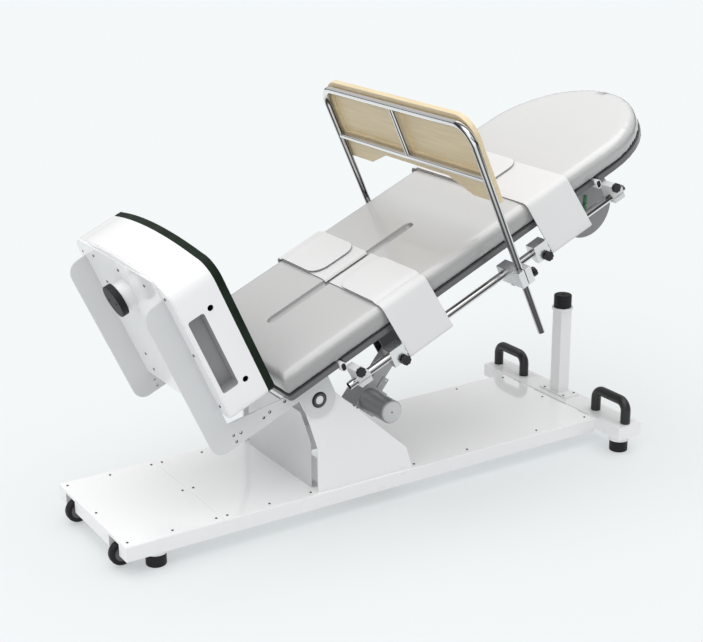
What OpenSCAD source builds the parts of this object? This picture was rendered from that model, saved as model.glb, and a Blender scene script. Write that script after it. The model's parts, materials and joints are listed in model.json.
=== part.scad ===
// Physiotherapy tilt table: a padded bed that tilts on a pedestal, with a foot platform,
// straps and a tray. Millimetres, +Z up, +X from the foot end to the head end, near side at -Y.
// The origin lies on the floor, midway between the transport wheels and the tip of the mattress.

/* [Base] */
// Width of the base platform
base_w = 600; // [560:5:640]
// Length of the base platform
base_l = 2076; // [2020:2:2140]
// Height of the deck surface above the floor
deck_z = 122.5; // [115:0.5:140]
// Height of the base side rails with the deck plate
side_h = 56.8; // [50:0.1:60]
// Width of the base side rails
side_w = 40; // [30:1:44]
// Wall of the base tubes
tube_wall = 3; // [2:0.5:4]
// Thickness of the deck plates
deck_t = 3; // [2:0.5:4]
// Distance from the foot end to the joint of the deck plates
deck_joint_x = 378; // [340:1:420]
// Width of the head-end cross beam
beam_w = 117; // [100:1:130]
// Length of the head-end cross beam
beam_l = 891; // [820:1:960]
// Height of the cross beam tube
beam_h = 53.7; // [48:0.1:58]
// Step of the cross beam above the deck
beam_step = 4.3; // [2:0.1:8]
// Radius of the rubber feet
foot_r = 37; // [30:0.5:42]
// Height of the rubber feet
foot_h = 48; // [36:1:54]
// Radius of the transport wheels
wheel_r = 46; // [40:0.5:48]
// Width of the transport wheels
wheel_w = 30; // [24:1:36]
// Distance of each transport wheel from the middle
wheel_y = 197; // [185:1:205]
// Radius of the grip tube of the lifting handles
handle_r = 20; // [16:0.5:22]
// Height of the lifting handles above the beam
handle_h = 110; // [90:1:130]
// Side of the square support post
post_s = 55; // [50:1:60]

/* [Pedestal] */
// Distance from the foot end to the tilt axis
pivot_x = 766; // [740:1:790]
// Height of the tilt axis above the floor
pivot_z = 492; // [480:1:510]
// Half distance between the outer faces of the pedestal plates
pedestal_y = 290; // [284:1:293]
// Thickness of the pedestal plates
pedestal_t = 8; // [6:0.5:10]
// Radius of the pedestal plates round the tilt axis
pedestal_r = 58; // [50:1:62]
// Outer radius of the pivot tube
pivot_r = 25; // [22:0.5:26]
// Half distance between the edges of the front panel
panel_y = 238; // [220:1:255]

/* [Tilt] */
// Tilt of the bed at rest, head end up, in degrees
rest_tilt = 23.8; // [20:0.1:28]
// Tilt of the bed when it stands upright, in degrees
upright_tilt = 85; // [80:0.5:85]

/* [Bed] */
// Distance of the mattress top above the tilt axis
bed_top = 207; // [203:1:215]
// Thickness of the mattress
mattress_t = 80; // [70:1:84]
// Half width of the mattress
mattress_hw = 377; // [360:1:385]
// Distance from the tilt axis to the foot edge of the mattress
mattress_foot = 122; // [115:1:128]
// Distance from the tilt axis to the start of the round head end
head_start = 1444; // [1440:1:1480]
// Length of the round head end
head_reach = 360; // [330:1:380]
// Radius of the groove along the middle of the mattress
groove_r = 23.5; // [18:0.5:28]
// Thickness of the mattress board
board_t = 20; // [16:0.5:22]
// Height of the bed frame tubes
long_h = 35; // [30:1:44]
// Width of the bed frame tubes
long_w = 40; // [30:1:48]
// Half distance between the outer faces of the long bed tubes
long_y = 250; // [240:1:255]
// Radius of the pivot ears
ear_r = 68; // [60:1:72]
// Thickness of the pivot ears
ear_t = 10; // [8:0.5:11]

/* [Side rails] */
// Radius of the side rails
rail_r = 15; // [13:0.5:16]
// Distance of the side rails from the middle
rail_y = 408; // [402:1:412]
// Distance of the side rails above the tilt axis
rail_m = 43; // [38:1:46]
// Radius of the lobed clamp knobs
knob_r = 18; // [14:0.5:19]

/* [Straps] */
// Thickness of the strap cloth
strap_t = 4; // [3:0.25:5]
// Width of the straps
strap_w = 203; // [180:1:210]
// Distance from the tilt axis to the knee straps
knee_a = 331; // [325:1:345]
// Distance from the tilt axis to the chest strap
chest_a = 1027; // [1020:1:1035]

/* [Tray] */
// Radius of the tray frame tube
tray_r = 14; // [12:0.5:15]
// Distance of the tray legs from the middle
tray_y = 485; // [475:1:490]
// Distance from the tilt axis to the tray legs
tray_a = 842; // [835:1:850]
// Height of the top tube of the tray above the mattress
tray_top = 463; // [430:1:480]
// Depth of the tray legs below the mattress top
tray_drop = 420; // [400:1:440]
// Thickness of the tray board
tray_board_t = 20; // [16:1:22]

/* [Foot unit] */
// Distance from the tilt axis back to the foot carrier plate
carrier_a = 351; // [348:1:356]
// Half width of the foot casing
casing_hw = 395; // [385:1:400]
// Depth of the foot casing
casing_d = 162; // [150:1:166]
// Height of the crown of the foot casing above the mattress top
casing_top = 566; // [550:1:580]
// Thickness of the foot mat
mat_t = 29; // [24:1:30]
// Distance of the foot arms from the middle
arm_y = 324; // [322:1:330]
// Thickness of the foot arms
arm_t = 6; // [4:0.5:8]
// Radius of the upright stop buffer
stop_r = 61; // [50:1:66]

/* [Dial] */
// Radius of the angle dial
dial_r = 133; // [120:1:133]
// Thickness of the angle dial
dial_t = 5; // [3:0.5:6]

/* [Actuator] */
// Distance from the foot end to the lower actuator pin
act_pin_x = 975; // [968:1:980]
// Height of the lower actuator pin above the floor
act_pin_z = 125; // [122:1:130]
// Distance from the foot end to the motor axis at rest
motor_x = 1141; // [1135:1:1146]
// Height of the motor axis above the floor at rest
motor_z = 326; // [320:1:330]
// Distance from the motor axis to the trunnion pin
trunnion_gap = 200; // [194:1:206]
// Radius of the motor
motor_r = 46; // [40:0.5:48]
// Length of the motor
motor_l = 156; // [140:1:160]
// Radius of the actuator screw
screw_r = 13; // [11:0.5:14]
// Side of the square cover tube
cover_s = 54; // [50:1:58]

/* [Hidden] */
$fn = 64;

// Clearances and overruns
fit_gap = 0.05;
seat_gap = 0.3;
over = 1;

// Steps of rounded outlines
fillet_steps = 6;
corner_steps = 8;
strap_steps = 10;
wrap_steps = 16;
round_steps = 24;

// Base frame
frame_z = deck_z - side_h;
frame_top = deck_z - deck_t;
end_plate_t = 6;
foot_x = 133;
foot_y = 245;
foot_member_w = 2 * foot_r;
cross_w = 40;
bay_front = pivot_x - 6;
bay_rear = 1180;
notch_w = 86;
notch_top = 109;
fork_t = 6;
wheel_x = 26;
wheel_lift = 8;
wheel_z = wheel_r + wheel_lift;
axle_r = 8;
end_wrap_l = 117;
end_wrap_t = 2;
wheel_edge_r = wheel_w * 0.25;
axle_head_r = 12;
axle_head_t = 4;
collar_r = 42;
sole_bevel = 3;
screw_head_r = 5;
screw_head_t = 2.2;
screw_shank_r = 2.6;
screw_hole_r = 3;
screw_edge = 20;
screw_inset = 30;
screw_y = base_w / 2 - screw_inset;
deck_gap = 1;
main_screw_shares = [0.014, 0.114, 0.215, 0.484, 0.631, 0.834, 0.982];
foot_screw_x = [screw_edge, deck_joint_x / 2, deck_joint_x - screw_edge];
main_screw_x = [for (share = main_screw_shares) deck_joint_x + (base_l - deck_joint_x) * share];
hatch_l = 250;
hatch_rim = 12;
hatch_rear = bay_rear - hatch_rim;
hatch_front = hatch_rear - hatch_l;
slot_d = 6;
slot_shares = [[-0.43, -0.32], [-0.2, 0.153], [0.278, 0.383]];

// Cross beam, handles and post
beam_z = deck_z + beam_step;
beam_mid_x = base_l + beam_w / 2;
beam_foot_inset = 62;
beam_foot_y = beam_l / 2 - beam_foot_inset;
handle_inset = 30;
handle_span = 178;
handle_out = beam_l / 2 - handle_inset;
handle_in = handle_out - handle_span;
handle_bend = 38;
post_x = beam_mid_x + tube_wall;
post_plate_x = 74;
post_plate_y = 170;
post_plate_t = 8;
post_hole_x = 29;
post_hole_y = 61;
post_collar_r = 44;
post_collar_t = 10;
buffer_r = 37;
buffer_h = 54;
buffer_hole_r = 4;
buffer_hole_d = 6;

// Pedestal
front_bend_z = 300;
rear_knee_x = 1152;
rear_knee_z = 211;
rear_knee_r = 22;
rear_x = 1178;
panel_t = 3;
panel_flange = 38;
panel_top_z = 432;
pivot_bore = 16.5;
pivot_half = 309;
cap_t = 6;
cap_depth = 3;
bush_wall = 4.8;
bush_flange_r = 36;
bush_flange_t = 4;

// Tilt and reference
bed_foot = -mattress_foot;
board_m = bed_top - mattress_t;
frame_m = board_m - board_t;
under_m = frame_m - long_h;
tip_x = pivot_x + (head_start + head_reach) * cos(rest_tilt) - board_m * sin(rest_tilt);
ref_x = (wheel_x - wheel_r + tip_x) / 2;
ear_in = pedestal_y + bush_flange_t + 2 * seat_gap;
ear_out = ear_in + ear_t;
post_top = pivot_z + under_m - buffer_h - post_collar_t - 2 * seat_gap;

// Bed frame
long_inset = 10;
long_foot = long_inset - mattress_foot;
long_head = head_start - long_inset / 2;
stub_w = 40;
stub_h = 30;
ear_lip = 4;
ear_gap = 3;
bed_cross_w = 40;
lug_foot = 400;
lug_head = 620;
post_a = post_x - pivot_x;
bed_cross_a = concat([long_foot, -pivot_r, lug_foot, lug_head - bed_cross_w],
  [for (share = [0.36, 0.7]) lug_head + (post_a - lug_head) * share], [post_a - bed_cross_w / 2]);
plug_t = 5;

// Mattress
foot_corner_r = 18;
foot_corner_least = 3;
side_steps = 5;
head_steps = 22;
foot_edge_shares = [0.5, 0, -0.5];
side_draw = 2.5;
edge_inset = [3, 1, 0.5, 0, 1, 6, 14, 26, 60, 140, 240];
edge_rise_share = [0, 0.025, 0.14, 0.36, 0.56, 0.76, 0.885, 0.95, 0.982, 0.996, 1];
groove_foot = 78;
groove_head = 727;
groove_lift = 3;
board_inset = 2;

// Side rails and brackets
rail_wall = 2;
oval_a = 24;
oval_m = 36;
oval_wall = 3;
oval_clear = 8;
oval_drop = 3;
oval_mid = frame_m - oval_drop;
oval_end = rail_y - rail_r - oval_clear;
oval_foot = 106;
oval_head_inset = 92;
oval_at = [oval_foot, head_start - oval_head_inset];
ear_flare = oval_foot - oval_a / 2 - ear_r - ear_gap;
bracket_a = 50;
rail_stub = 20;
rail_foot = oval_at[0] - oval_a / 2 - rail_stub / 2;
rail_head = oval_at[1] + oval_a / 2 + bracket_a + rail_stub;
bracket_neck_a = 28;
bracket_wall = 6;
bracket_y0 = oval_end - rail_r;
bracket_y1 = rail_y + rail_r + bracket_wall * 2;
bracket_low = rail_m - rail_r - bracket_wall;
bracket_high = rail_m + rail_r + bracket_wall;
bracket_top = frame_m - bracket_wall * 2;
bracket_slit = 3;
bracket_knob_drop = 9.5;
bracket_knob_m = bracket_top - bracket_knob_drop;

// Knobs
knob_h = 13;
knob_lobes = 8;
knob_lobe_r = 3.4;
knob_lobe_out = 1.1;
knob_neck_r = 8;
knob_neck_h = 5;
knob_stem_r = 4;
knob_stem_l = 18;

// Strap clamps
clamp_a = 62;
clamp_wall = 8;
clamp_y0 = rail_y - rail_r - clamp_wall;
clamp_out = 11;
clamp_y1 = rail_y + rail_r + clamp_out;
clamp_top = rail_m + rail_r + clamp_wall * 2;
clamp_corner = 10;
clamp_back = 4;
clamp_knob_share = 0.3;
bar_r = 5;
bar_hang = 29;
bar_y = clamp_y1 - bar_r;
bar_m = rail_m - bar_hang;
clamp_low = bar_m - clamp_wall;
bar_extra = 3;
strap_gap = 1;
strap_bend = 26;
strap_loop_r = bar_r + seat_gap;
strap_wrap = 295;
strap_groove_dip = 8.5;
strap_groove_clear = 1.5;
strap_groove_in = groove_r - strap_groove_clear;
flap_in = 72;
inner_out = 210;
flap_ramp = 16;
chest_flap_in = -100;
chest_flap_out = 250;
chest_lead = 5;

// Tray
tray_bend = 75;
bar_drop = 218;
bar_low = tray_top - bar_drop;
tray_bar_r = 11;
tray_mid_r = 9;
board_gap = 0.3;
board_rise = 27;
board_reach = 1;
board_top = tray_top + board_rise;
board_hw = tray_y + board_reach;
board_corner = tray_bend + tray_r;
board_h = 350;
board_low = board_top - board_h;
board_notch = 56;
board_cut_y = 207;
board_lug_y = 335;
pocket_d = 9;
pocket_in = 17;
pocket_y0 = tray_mid_r + pocket_in;
pocket_y1 = tray_y - tray_r - pocket_in;
pocket_n0 = bar_low + pocket_in;
pocket_n1 = tray_top - tray_r - pocket_in / 2;
tray_clamp_a = 58;
tray_clamp_wall = 19;
tray_clamp_out = tray_y + tray_r + tray_clamp_wall;
tray_clamp_low = rail_m - rail_r - tray_clamp_wall + clamp_wall / 2;
tray_clamp_top = rail_m + rail_r + tray_clamp_wall;
tray_block_share = 0.8;
tray_slit = 3;
leg_knob_y = tray_clamp_out - tray_clamp_wall / 2;
rail_knob_y = rail_y + rail_r + clamp_wall;

// Foot unit
carrier_t = 6;
carrier_low = 60;
carrier_drop = 21;
carrier_top = casing_top - carrier_drop;
casing_rise = 32;
casing_edge = casing_top - casing_rise;
casing_corner = 74;
crown_lap = 1;
casing_shoulder_y = casing_hw - casing_corner + crown_lap;
casing_low = 10;
casing_low_r = 26;
casing_wall = 5;
rim_inset = 3;
recess_a0 = 16;
recess_a1 = 80;
recess_n0 = 95;
recess_n1 = 391;
recess_d = 58;
recess_r = 10;
grip_hole_r = 11;
grip_hole_n = [recess_n0, recess_n1];
grip_hole_a = 108;
rib_t = 6;
rib_y = casing_hw / 3;
wing_reach = 85;
wing_back = carrier_a + wing_reach;
wing_drop = 94;
wing_top = casing_top - wing_drop;
wing_r = 52;
arm_low = 151;
arm_low_r = 48;
arm_heel_n = 56;
arm_head = 51;
arm_mid = 107;
arm_board_gap = 5;
arm_mid_n = mattress_t + board_t + arm_board_gap;
arm_tip_n = 119;
arm_tip_low = 145;
arm_heel_back = 18;
arm_small_r = 5.2;
arm_small_at = [[-93, -119], [-219, -119], [-344, -106], [-344, -134]];
arm_big_r = 6.2;
arm_big_at = [[-125, -114], [-191, -114], [-316, -114]];
stop_n = 410;
stop_t = 25;
stop_gap = 0.5;
spacer_r = 50;
stop_hole_r = 5;
stop_hole_d = 6;
stop_hole_y = 30;
carrier_screw_y = 213;
carrier_screw_shares = [0.08, 0.2, 0.74, 0.925];
strip_w = 37;
strip_screw_shares = [0.06, 0.47, 0.9];
foot_head_r = 5.5;
foot_head_t = 2.5;

// Dial
dial_a = 1350;
dial_m = -18;
dial_pin_r = 4;
dial_pin_l = 15;
dial_strap_w = 44;
pointer_t = 4;
pointer_w = 13;
pointer_tip_w = 5;
pointer_tail = 36;
pointer_len = 100;
pointer_eye_r = 9;

// Actuator, in its own frame along the screw, from the motor axis towards the trunnion
act_angle = atan2(motor_z - act_pin_z, motor_x - act_pin_x);
act_len = norm([motor_x - act_pin_x, motor_z - act_pin_z]);
gear_back = 50;
gear_front = 55;
gear_half = 45;
gear_low = 62;
gear_y = 50;
cover_wall = 4;
cover_l = 560;
trunnion_r = 9;
pin_inner = 15.6;
trunnion_pad_r = 17;
trunnion_pad_t = 6;
lug_t = 8;
lug_y = 34;
lug_r = 30;
motor_ring = 3;
motor_cap_r = 3;
eye_r = 18;
eye_half = 14;
eye_pin_r = 8;
foot_lug_y = 16;
foot_lug_t = 8;
foot_lug_half = 28;
foot_lug_top = 24;
foot_plate_t = 4;
foot_plate_y = 80;
tab_l0 = 56;
tab_l1 = 106;
tab_in = 16;
tab_out = 46;
tab_t = 4;
tab_hole_r = 4;
screw_l = 657;
screw_out = screw_l - act_len;

// Points of a round stretch of an outline
function arc(c, r, from, to, steps) =
  [for (i = [0 : steps]) let (t = from + (to - from) * i / steps) c + r * [cos(t), sin(t)]];

// Angle at which a line from a point touches a circle
function tangent_angle(p, c, r, side) =
  let (d = p - c) atan2(d[1], d[0]) + side * acos(r / norm(d));

// Points of a rounded polygon corner between two edges
function corner(p, c, q, r) =
  let (u = (p - c) / norm(p - c), v = (q - c) / norm(q - c), half = acos(u * v) / 2)
  let (d = r / tan(half), m = c + (u + v) / norm(u + v) * r / sin(half))
  let (s = c + u * d - m, e = c + v * d - m, a0 = atan2(s[1], s[0]), a1 = atan2(e[1], e[0]))
  let (turn = a1 - a0, t = turn > 180 ? turn - 360 : turn < -180 ? turn + 360 : turn)
  arc(m, r, a0, a0 + t, corner_steps);

module block(low, high) { translate(low) cube(high - low); }

module both_sides() {
  children();
  mirror([0, 1, 0]) children();
}

module on_base() { translate([-ref_x, 0, 0]) children(); }

// Bed frame of reference: X along the bed from the tilt axis, Z away from the bed
module on_bed() { translate([pivot_x - ref_x, 0, pivot_z]) rotate([0, -rest_tilt, 0]) children(); }

// Actuator frame of reference: X along the screw from the motor axis towards the trunnion
module on_actuator() { translate([motor_x - ref_x, 0, motor_z]) rotate([0, -act_angle, 0]) children(); }

module rod_x(r, x0, x1) { translate([x0, 0, 0]) rotate([0, 90, 0]) cylinder(r = r, h = x1 - x0); }

module rod_y(r, y0, y1) { translate([0, y0, 0]) rotate([-90, 0, 0]) cylinder(r = r, h = y1 - y0); }

// A plate drawn in X and Z, between two distances from the middle
module plate_xz(y0, y1) { translate([0, y1, 0]) rotate([90, 0, 0]) linear_extrude(y1 - y0) children(); }

module box_tube(low, high, wall) {
  difference() {
    block(low, high);
    block(low + [wall, wall, wall], high - [wall, wall, wall]);
  }
}

module base_frame() {
  color("white") on_base() difference() {
    union() {
      both_sides() box_tube([0, base_w / 2 - side_w, frame_z], [base_l, base_w / 2, frame_top], tube_wall);
      block([0, -base_w / 2 + side_w, frame_z], [end_plate_t, base_w / 2 - side_w, frame_top]);
      both_sides() block([0, base_w / 2, frame_z], [end_wrap_l, base_w / 2 + end_wrap_t, frame_top]);
      both_sides() for (side = [-1, 1]) {
        fork_y = wheel_y + side * (notch_w + fork_t) / 2;
        block([end_plate_t, fork_y - fork_t / 2, frame_z], [foot_x - foot_member_w / 2, fork_y + fork_t / 2,
          frame_top]);
      }
      for (x = [foot_x - foot_member_w / 2, deck_joint_x - cross_w / 2, bay_front, bay_rear,
          (bay_rear + base_l) / 2, base_l - cross_w])
        box_tube([x, -base_w / 2 + side_w, frame_z],
          [x + (x < foot_x ? foot_member_w : cross_w), base_w / 2 - side_w, frame_top], tube_wall);
    }
    both_sides() block([-over, wheel_y - notch_w / 2, frame_z - over],
      [end_plate_t + over, wheel_y + notch_w / 2, notch_top]);
    both_sides() translate([wheel_x, 0, wheel_z])
      rod_y(axle_r + fit_gap, wheel_y - notch_w, wheel_y + notch_w);
  }
}

// Screw places of a deck plate: two side rows, and a middle row at the ends alone
function deck_spots(xs, ends) =
  concat([for (x = xs, y = [-screw_y, screw_y]) [x, y]], [for (x = ends) [x, 0]]);

foot_spots = deck_spots(foot_screw_x, [foot_screw_x[0], foot_screw_x[2]]);
main_spots = deck_spots(main_screw_x, [main_screw_x[0], main_screw_x[len(main_screw_x) - 1]]);

module deck_holes(spots) {
  for (spot = spots)
    translate([spot[0], spot[1], deck_z - deck_t - over]) cylinder(r = screw_hole_r, h = deck_t + 2 * over);
}

module foot_deck_plate() {
  color("white") on_base() difference() {
    block([0, -base_w / 2, frame_top], [deck_joint_x - deck_gap / 2, base_w / 2, deck_z]);
    deck_holes(foot_spots);
  }
}

module main_deck_plate() {
  color("white") on_base() difference() {
    block([deck_joint_x + deck_gap / 2, -base_w / 2, frame_top], [base_l, base_w / 2, deck_z]);
    deck_holes(main_spots);
    block([hatch_front, -gear_y - motor_l - hatch_rim, frame_top - over],
      [hatch_rear, gear_y + hatch_rim, deck_z + over]);
    for (gap = slot_shares * base_w)
      block([base_l - slot_d, gap[0], frame_top - over], [base_l + over, gap[1], deck_z + over]);
  }
}

module deck_screw(z, plate) {
  translate([0, 0, z]) cylinder(r = screw_head_r, h = screw_head_t);
  translate([0, 0, z - plate]) cylinder(r = screw_shank_r, h = plate);
}

module deck_screws() {
  color("gray") on_base() {
    for (spot = concat(foot_spots, main_spots)) translate([spot[0], spot[1], 0]) deck_screw(deck_z, deck_t);
    for (dx = [-post_hole_x, post_hole_x], dy = [-post_hole_y, post_hole_y])
      translate([post_x + dx, dy, 0]) deck_screw(beam_z + post_plate_t, post_plate_t);
  }
}

module wheel_axles() {
  color("gray") on_base() both_sides() translate([wheel_x, 0, wheel_z]) {
    rod_y(axle_r, wheel_y - notch_w / 2 - fork_t, wheel_y + notch_w / 2 + fork_t);
    for (side = [-1, 1]) {
      face = wheel_y + side * (notch_w / 2 + fork_t);
      rod_y(axle_head_r, min(face, face + side * axle_head_t), max(face, face + side * axle_head_t));
      inner = wheel_y + side * (wheel_w / 2 + seat_gap);
      rod_y(axle_head_r, min(inner, inner + side * axle_head_t), max(inner, inner + side * axle_head_t));
    }
  }
}

module wheel() {
  color("black") on_base() translate([wheel_x, 0, wheel_z]) difference() {
    rotate([90, 0, 0]) rotate_extrude() polygon(concat(
      [[axle_r + fit_gap, -wheel_w / 2]],
      arc([wheel_r - wheel_edge_r, wheel_edge_r - wheel_w / 2], wheel_edge_r, -90, 0, fillet_steps),
      arc([wheel_r - wheel_edge_r, wheel_w / 2 - wheel_edge_r], wheel_edge_r, 0, 90, fillet_steps),
      [[axle_r + fit_gap, wheel_w / 2]]));
  }
}

module near_wheel() { translate([0, -wheel_y, 0]) wheel(); }

module far_wheel() { translate([0, wheel_y, 0]) wheel(); }

module cross_beam() {
  color("white") on_base() difference() {
    box_tube([base_l, -beam_l / 2, beam_z - beam_h], [base_l + beam_w, beam_l / 2, beam_z], tube_wall);
    for (dx = [-post_hole_x, post_hole_x], dy = [-post_hole_y, post_hole_y])
      translate([post_x + dx, dy, beam_z - tube_wall - over])
        cylinder(r = screw_hole_r, h = tube_wall + 2 * over);
  }
}

module foot_collars() {
  color("white") on_base() both_sides() {
    translate([foot_x, foot_y, foot_h]) cylinder(r = collar_r, h = frame_z - foot_h);
    translate([beam_mid_x, beam_foot_y, foot_h]) cylinder(r = collar_r, h = beam_z - beam_h - foot_h);
  }
}

module rubber_foot() {
  rotate_extrude() polygon([[0, 0], [foot_r - sole_bevel, 0], [foot_r, sole_bevel], [foot_r, foot_h],
    [0, foot_h]]);
}

module rubber_feet() {
  color("black") on_base() both_sides() {
    translate([foot_x, foot_y, 0]) rubber_foot();
    translate([beam_mid_x, beam_foot_y, 0]) rubber_foot();
  }
}

// A bent tube handle that stands on the beam, drawn between its two legs
module u_handle(y0, y1, top) {
  bend = handle_bend;
  for (y = [y0, y1]) translate([0, y, 0]) cylinder(r = handle_r, h = top - bend);
  translate([0, y0 + bend, top - bend]) rotate([0, -90, 0]) rotate([0, 0, -90])
    rotate_extrude(angle = 90) translate([bend, 0]) circle(r = handle_r);
  translate([0, y1 - bend, top - bend]) rotate([0, -90, 0])
    rotate_extrude(angle = 90) translate([bend, 0]) circle(r = handle_r);
  translate([0, 0, top]) rod_y(handle_r, y0 + bend, y1 - bend);
}

module lift_handles() {
  color("black") on_base() both_sides()
    translate([beam_mid_x, 0, beam_z]) u_handle(handle_in, handle_out, handle_h - handle_r);
}

module support_post() {
  color("lightgray") on_base() translate([post_x, 0, 0]) difference() {
    union() {
      block([-post_plate_x / 2, -post_plate_y / 2, beam_z],
        [post_plate_x / 2, post_plate_y / 2, beam_z + post_plate_t]);
      box_tube([-post_s / 2, -post_s / 2, beam_z + post_plate_t], [post_s / 2, post_s / 2, post_top],
        tube_wall);
      translate([0, 0, post_top]) cylinder(r = post_collar_r, h = post_collar_t);
    }
    for (dx = [-post_hole_x, post_hole_x], dy = [-post_hole_y, post_hole_y])
      translate([dx, dy, beam_z - over]) cylinder(r = screw_hole_r, h = post_plate_t + 2 * over);
  }
}

module post_buffer() {
  color("black") on_base() translate([post_x, 0, post_top + post_collar_t]) difference() {
    rotate_extrude() polygon([[0, 0], [buffer_r, 0], [buffer_r, buffer_h - sole_bevel],
      [buffer_r - sole_bevel, buffer_h], [0, buffer_h]]);
    translate([0, 0, buffer_h - buffer_hole_d]) cylinder(r = buffer_hole_r, h = buffer_hole_d + over);
  }
}

// Side outline of the pedestal, round the tilt axis
module pedestal_outline() {
  c = [pivot_x, pivot_z];
  front = [pivot_x, front_bend_z];
  knee = [rear_knee_x, rear_knee_z];
  a_front = tangent_angle(front, c, pedestal_r, -1);
  a_rear = tangent_angle(knee, c, pedestal_r, 1);
  top = c + pedestal_r * [cos(a_rear), sin(a_rear)];
  polygon(concat([[pivot_x, deck_z], front], arc(c, pedestal_r, a_front, a_rear - 360, round_steps),
    corner(top, knee, [rear_x, deck_z], rear_knee_r), [[rear_x, deck_z]]));
}

module pedestal_plates() {
  color("white") on_base() both_sides() difference() {
    plate_xz(pedestal_y - pedestal_t, pedestal_y) pedestal_outline();
    translate([pivot_x, 0, pivot_z])
      rod_y(pivot_r + fit_gap, pedestal_y - pedestal_t - over, pedestal_y + over);
  }
}

// A bent sheet that stands on the deck and leans forward towards the tilt axis
module pedestal_front_panel() {
  c = [pivot_x, pivot_z];
  front = [pivot_x, front_bend_z];
  a_front = tangent_angle(front, c, pedestal_r, -1);
  lean = c + pedestal_r * [cos(a_front), sin(a_front)] - front;
  rise = panel_top_z - front_bend_z;
  head = front + lean * rise / lean[1];
  color("lightgray") on_base() plate_xz(-panel_y, panel_y)
    polygon([[pivot_x, deck_z], front, head, head + [panel_t, 0], front + [panel_t, 0],
      [pivot_x + panel_t, deck_z + panel_t], [pivot_x + panel_flange, deck_z + panel_t],
      [pivot_x + panel_flange, deck_z]]);
}

// Plate between two cross tubes of the base with the two lugs for the eye of the screw
module screw_clevis() {
  color("white") on_base() {
    block([bay_front + cross_w, -foot_plate_y, frame_z], [bay_rear, foot_plate_y, frame_z + foot_plate_t]);
    both_sides() block([act_pin_x - foot_lug_half, foot_lug_y, frame_z + foot_plate_t],
      [act_pin_x + foot_lug_half, foot_lug_y + foot_lug_t, act_pin_z + foot_lug_top]);
  }
}

module pivot_tube() {
  color("silver") on_base() translate([pivot_x, 0, pivot_z]) difference() {
    rod_y(pivot_r, -pivot_half, pivot_half);
    rod_y(pivot_bore, -pivot_half - over, pivot_half + over);
  }
}

module pivot_caps() {
  color("white") on_base() translate([pivot_x, 0, pivot_z]) both_sides()
    rod_y(pivot_bore - fit_gap, pivot_half - cap_depth - cap_t, pivot_half - cap_depth);
}

module bed_frame() {
  color("white") on_bed() {
    both_sides() box_tube([long_foot, long_y - long_w, under_m], [long_head, long_y, frame_m], tube_wall);
    for (a = bed_cross_a)
      box_tube([a, -long_y + long_w, under_m], [a + bed_cross_w, long_y - long_w, frame_m], tube_wall);
    both_sides() {
      block([-ear_r / 2, long_y, under_m], [ear_r / 2, ear_in, frame_m]);
      block([long_foot, long_y, under_m], [long_foot + stub_w, arm_y - arm_t, under_m + stub_h]);
    }
  }
}

module pivot_ears() {
  color("white") on_bed() both_sides() difference() {
    plate_xz(ear_in, ear_out) polygon(concat([[-ear_r, frame_m]],
      arc([0, 0], ear_r, 180, 360, round_steps),
      arc([ear_r + ear_flare, frame_m - ear_flare - ear_lip], ear_flare, 180, 90, corner_steps),
      [[ear_r + ear_flare, frame_m]]));
    rod_y(pivot_r + bush_wall + fit_gap, ear_in - over, ear_out + over);
  }
}

module pivot_bushes() {
  color("dimgray") on_bed() both_sides() difference() {
    union() {
      rod_y(pivot_r + bush_wall, ear_in - over / 2, ear_out);
      rod_y(bush_flange_r, pedestal_y + seat_gap, ear_in);
    }
    rod_y(pivot_r + fit_gap, pedestal_y, ear_out + over);
  }
}

// Plan outline of the mattress, drawn in by a distance all round
function mattress_outline(inset, draw) =
  let (r = max(foot_corner_r - inset, foot_corner_least), hw = mattress_hw - inset, a0 = bed_foot + inset)
  let (span = head_start - a0 - r)
  concat(arc([a0 + r, -hw + r], r, 180, 270, side_steps),
    [for (i = [1 : side_steps - 1]) let (t = i / side_steps)
      [a0 + r + span * t, -hw + draw * sin(180 * t)]],
    [for (i = [0 : head_steps]) let (t = -90 + 180 * i / head_steps)
      [head_start + (head_reach - inset) * cos(t), hw * sin(t)]],
    [for (i = [side_steps - 1 : -1 : 1]) let (t = i / side_steps)
      [a0 + r + span * t, hw - draw * sin(180 * t)]],
    arc([a0 + r, hw - r], r, 90, 180, side_steps),
    [for (share = foot_edge_shares) [a0, (hw - r) * share]]);

module mattress_board() {
  color("black") on_bed() difference() {
    translate([0, 0, frame_m]) linear_extrude(board_t) polygon(mattress_outline(board_inset, 0));
    both_sides() for (a = oval_at) block([a - oval_a / 2 - fit_gap, long_y - fit_gap, frame_m - over],
      [a + oval_a / 2 + fit_gap, mattress_hw, board_m + over]);
  }
}

module mattress_body() {
  low = board_m + seat_gap;
  rings = [for (k = [0 : len(edge_inset) - 1])
    [for (p = mattress_outline(edge_inset[k], side_draw))
      [p[0], p[1], low + (bed_top - low) * edge_rise_share[k]]]];
  n = len(rings[0]);
  count = len(rings) * n;
  points = concat([for (ring = rings) each ring], [[head_start / 2, 0, low], [head_start / 2, 0, bed_top]]);
  polyhedron(points, concat(
    [for (k = [0 : len(rings) - 2], i = [0 : n - 1]) let (j = (i + 1) % n)
      each [[k * n + i, k * n + n + i, k * n + j], [k * n + j, k * n + n + i, k * n + n + j]]],
    [for (i = [0 : n - 1]) let (j = (i + 1) % n)
      each [[count, i, j], [count + 1, count - n + j, count - n + i]]]));
}

module mattress() {
  color("lightgray") on_bed() difference() {
    mattress_body();
    translate([0, 0, bed_top + groove_lift]) {
      rod_x(groove_r, groove_foot, groove_head);
      for (a = [groove_foot, groove_head]) translate([a, 0, 0]) sphere(r = groove_r);
    }
  }
}

module side_rails() {
  color("silver") on_bed() both_sides() translate([0, rail_y, rail_m]) difference() {
    rod_x(rail_r, rail_foot, rail_head);
    rod_x(rail_r - rail_wall, rail_foot - over, rail_head + over);
  }
}

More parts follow.
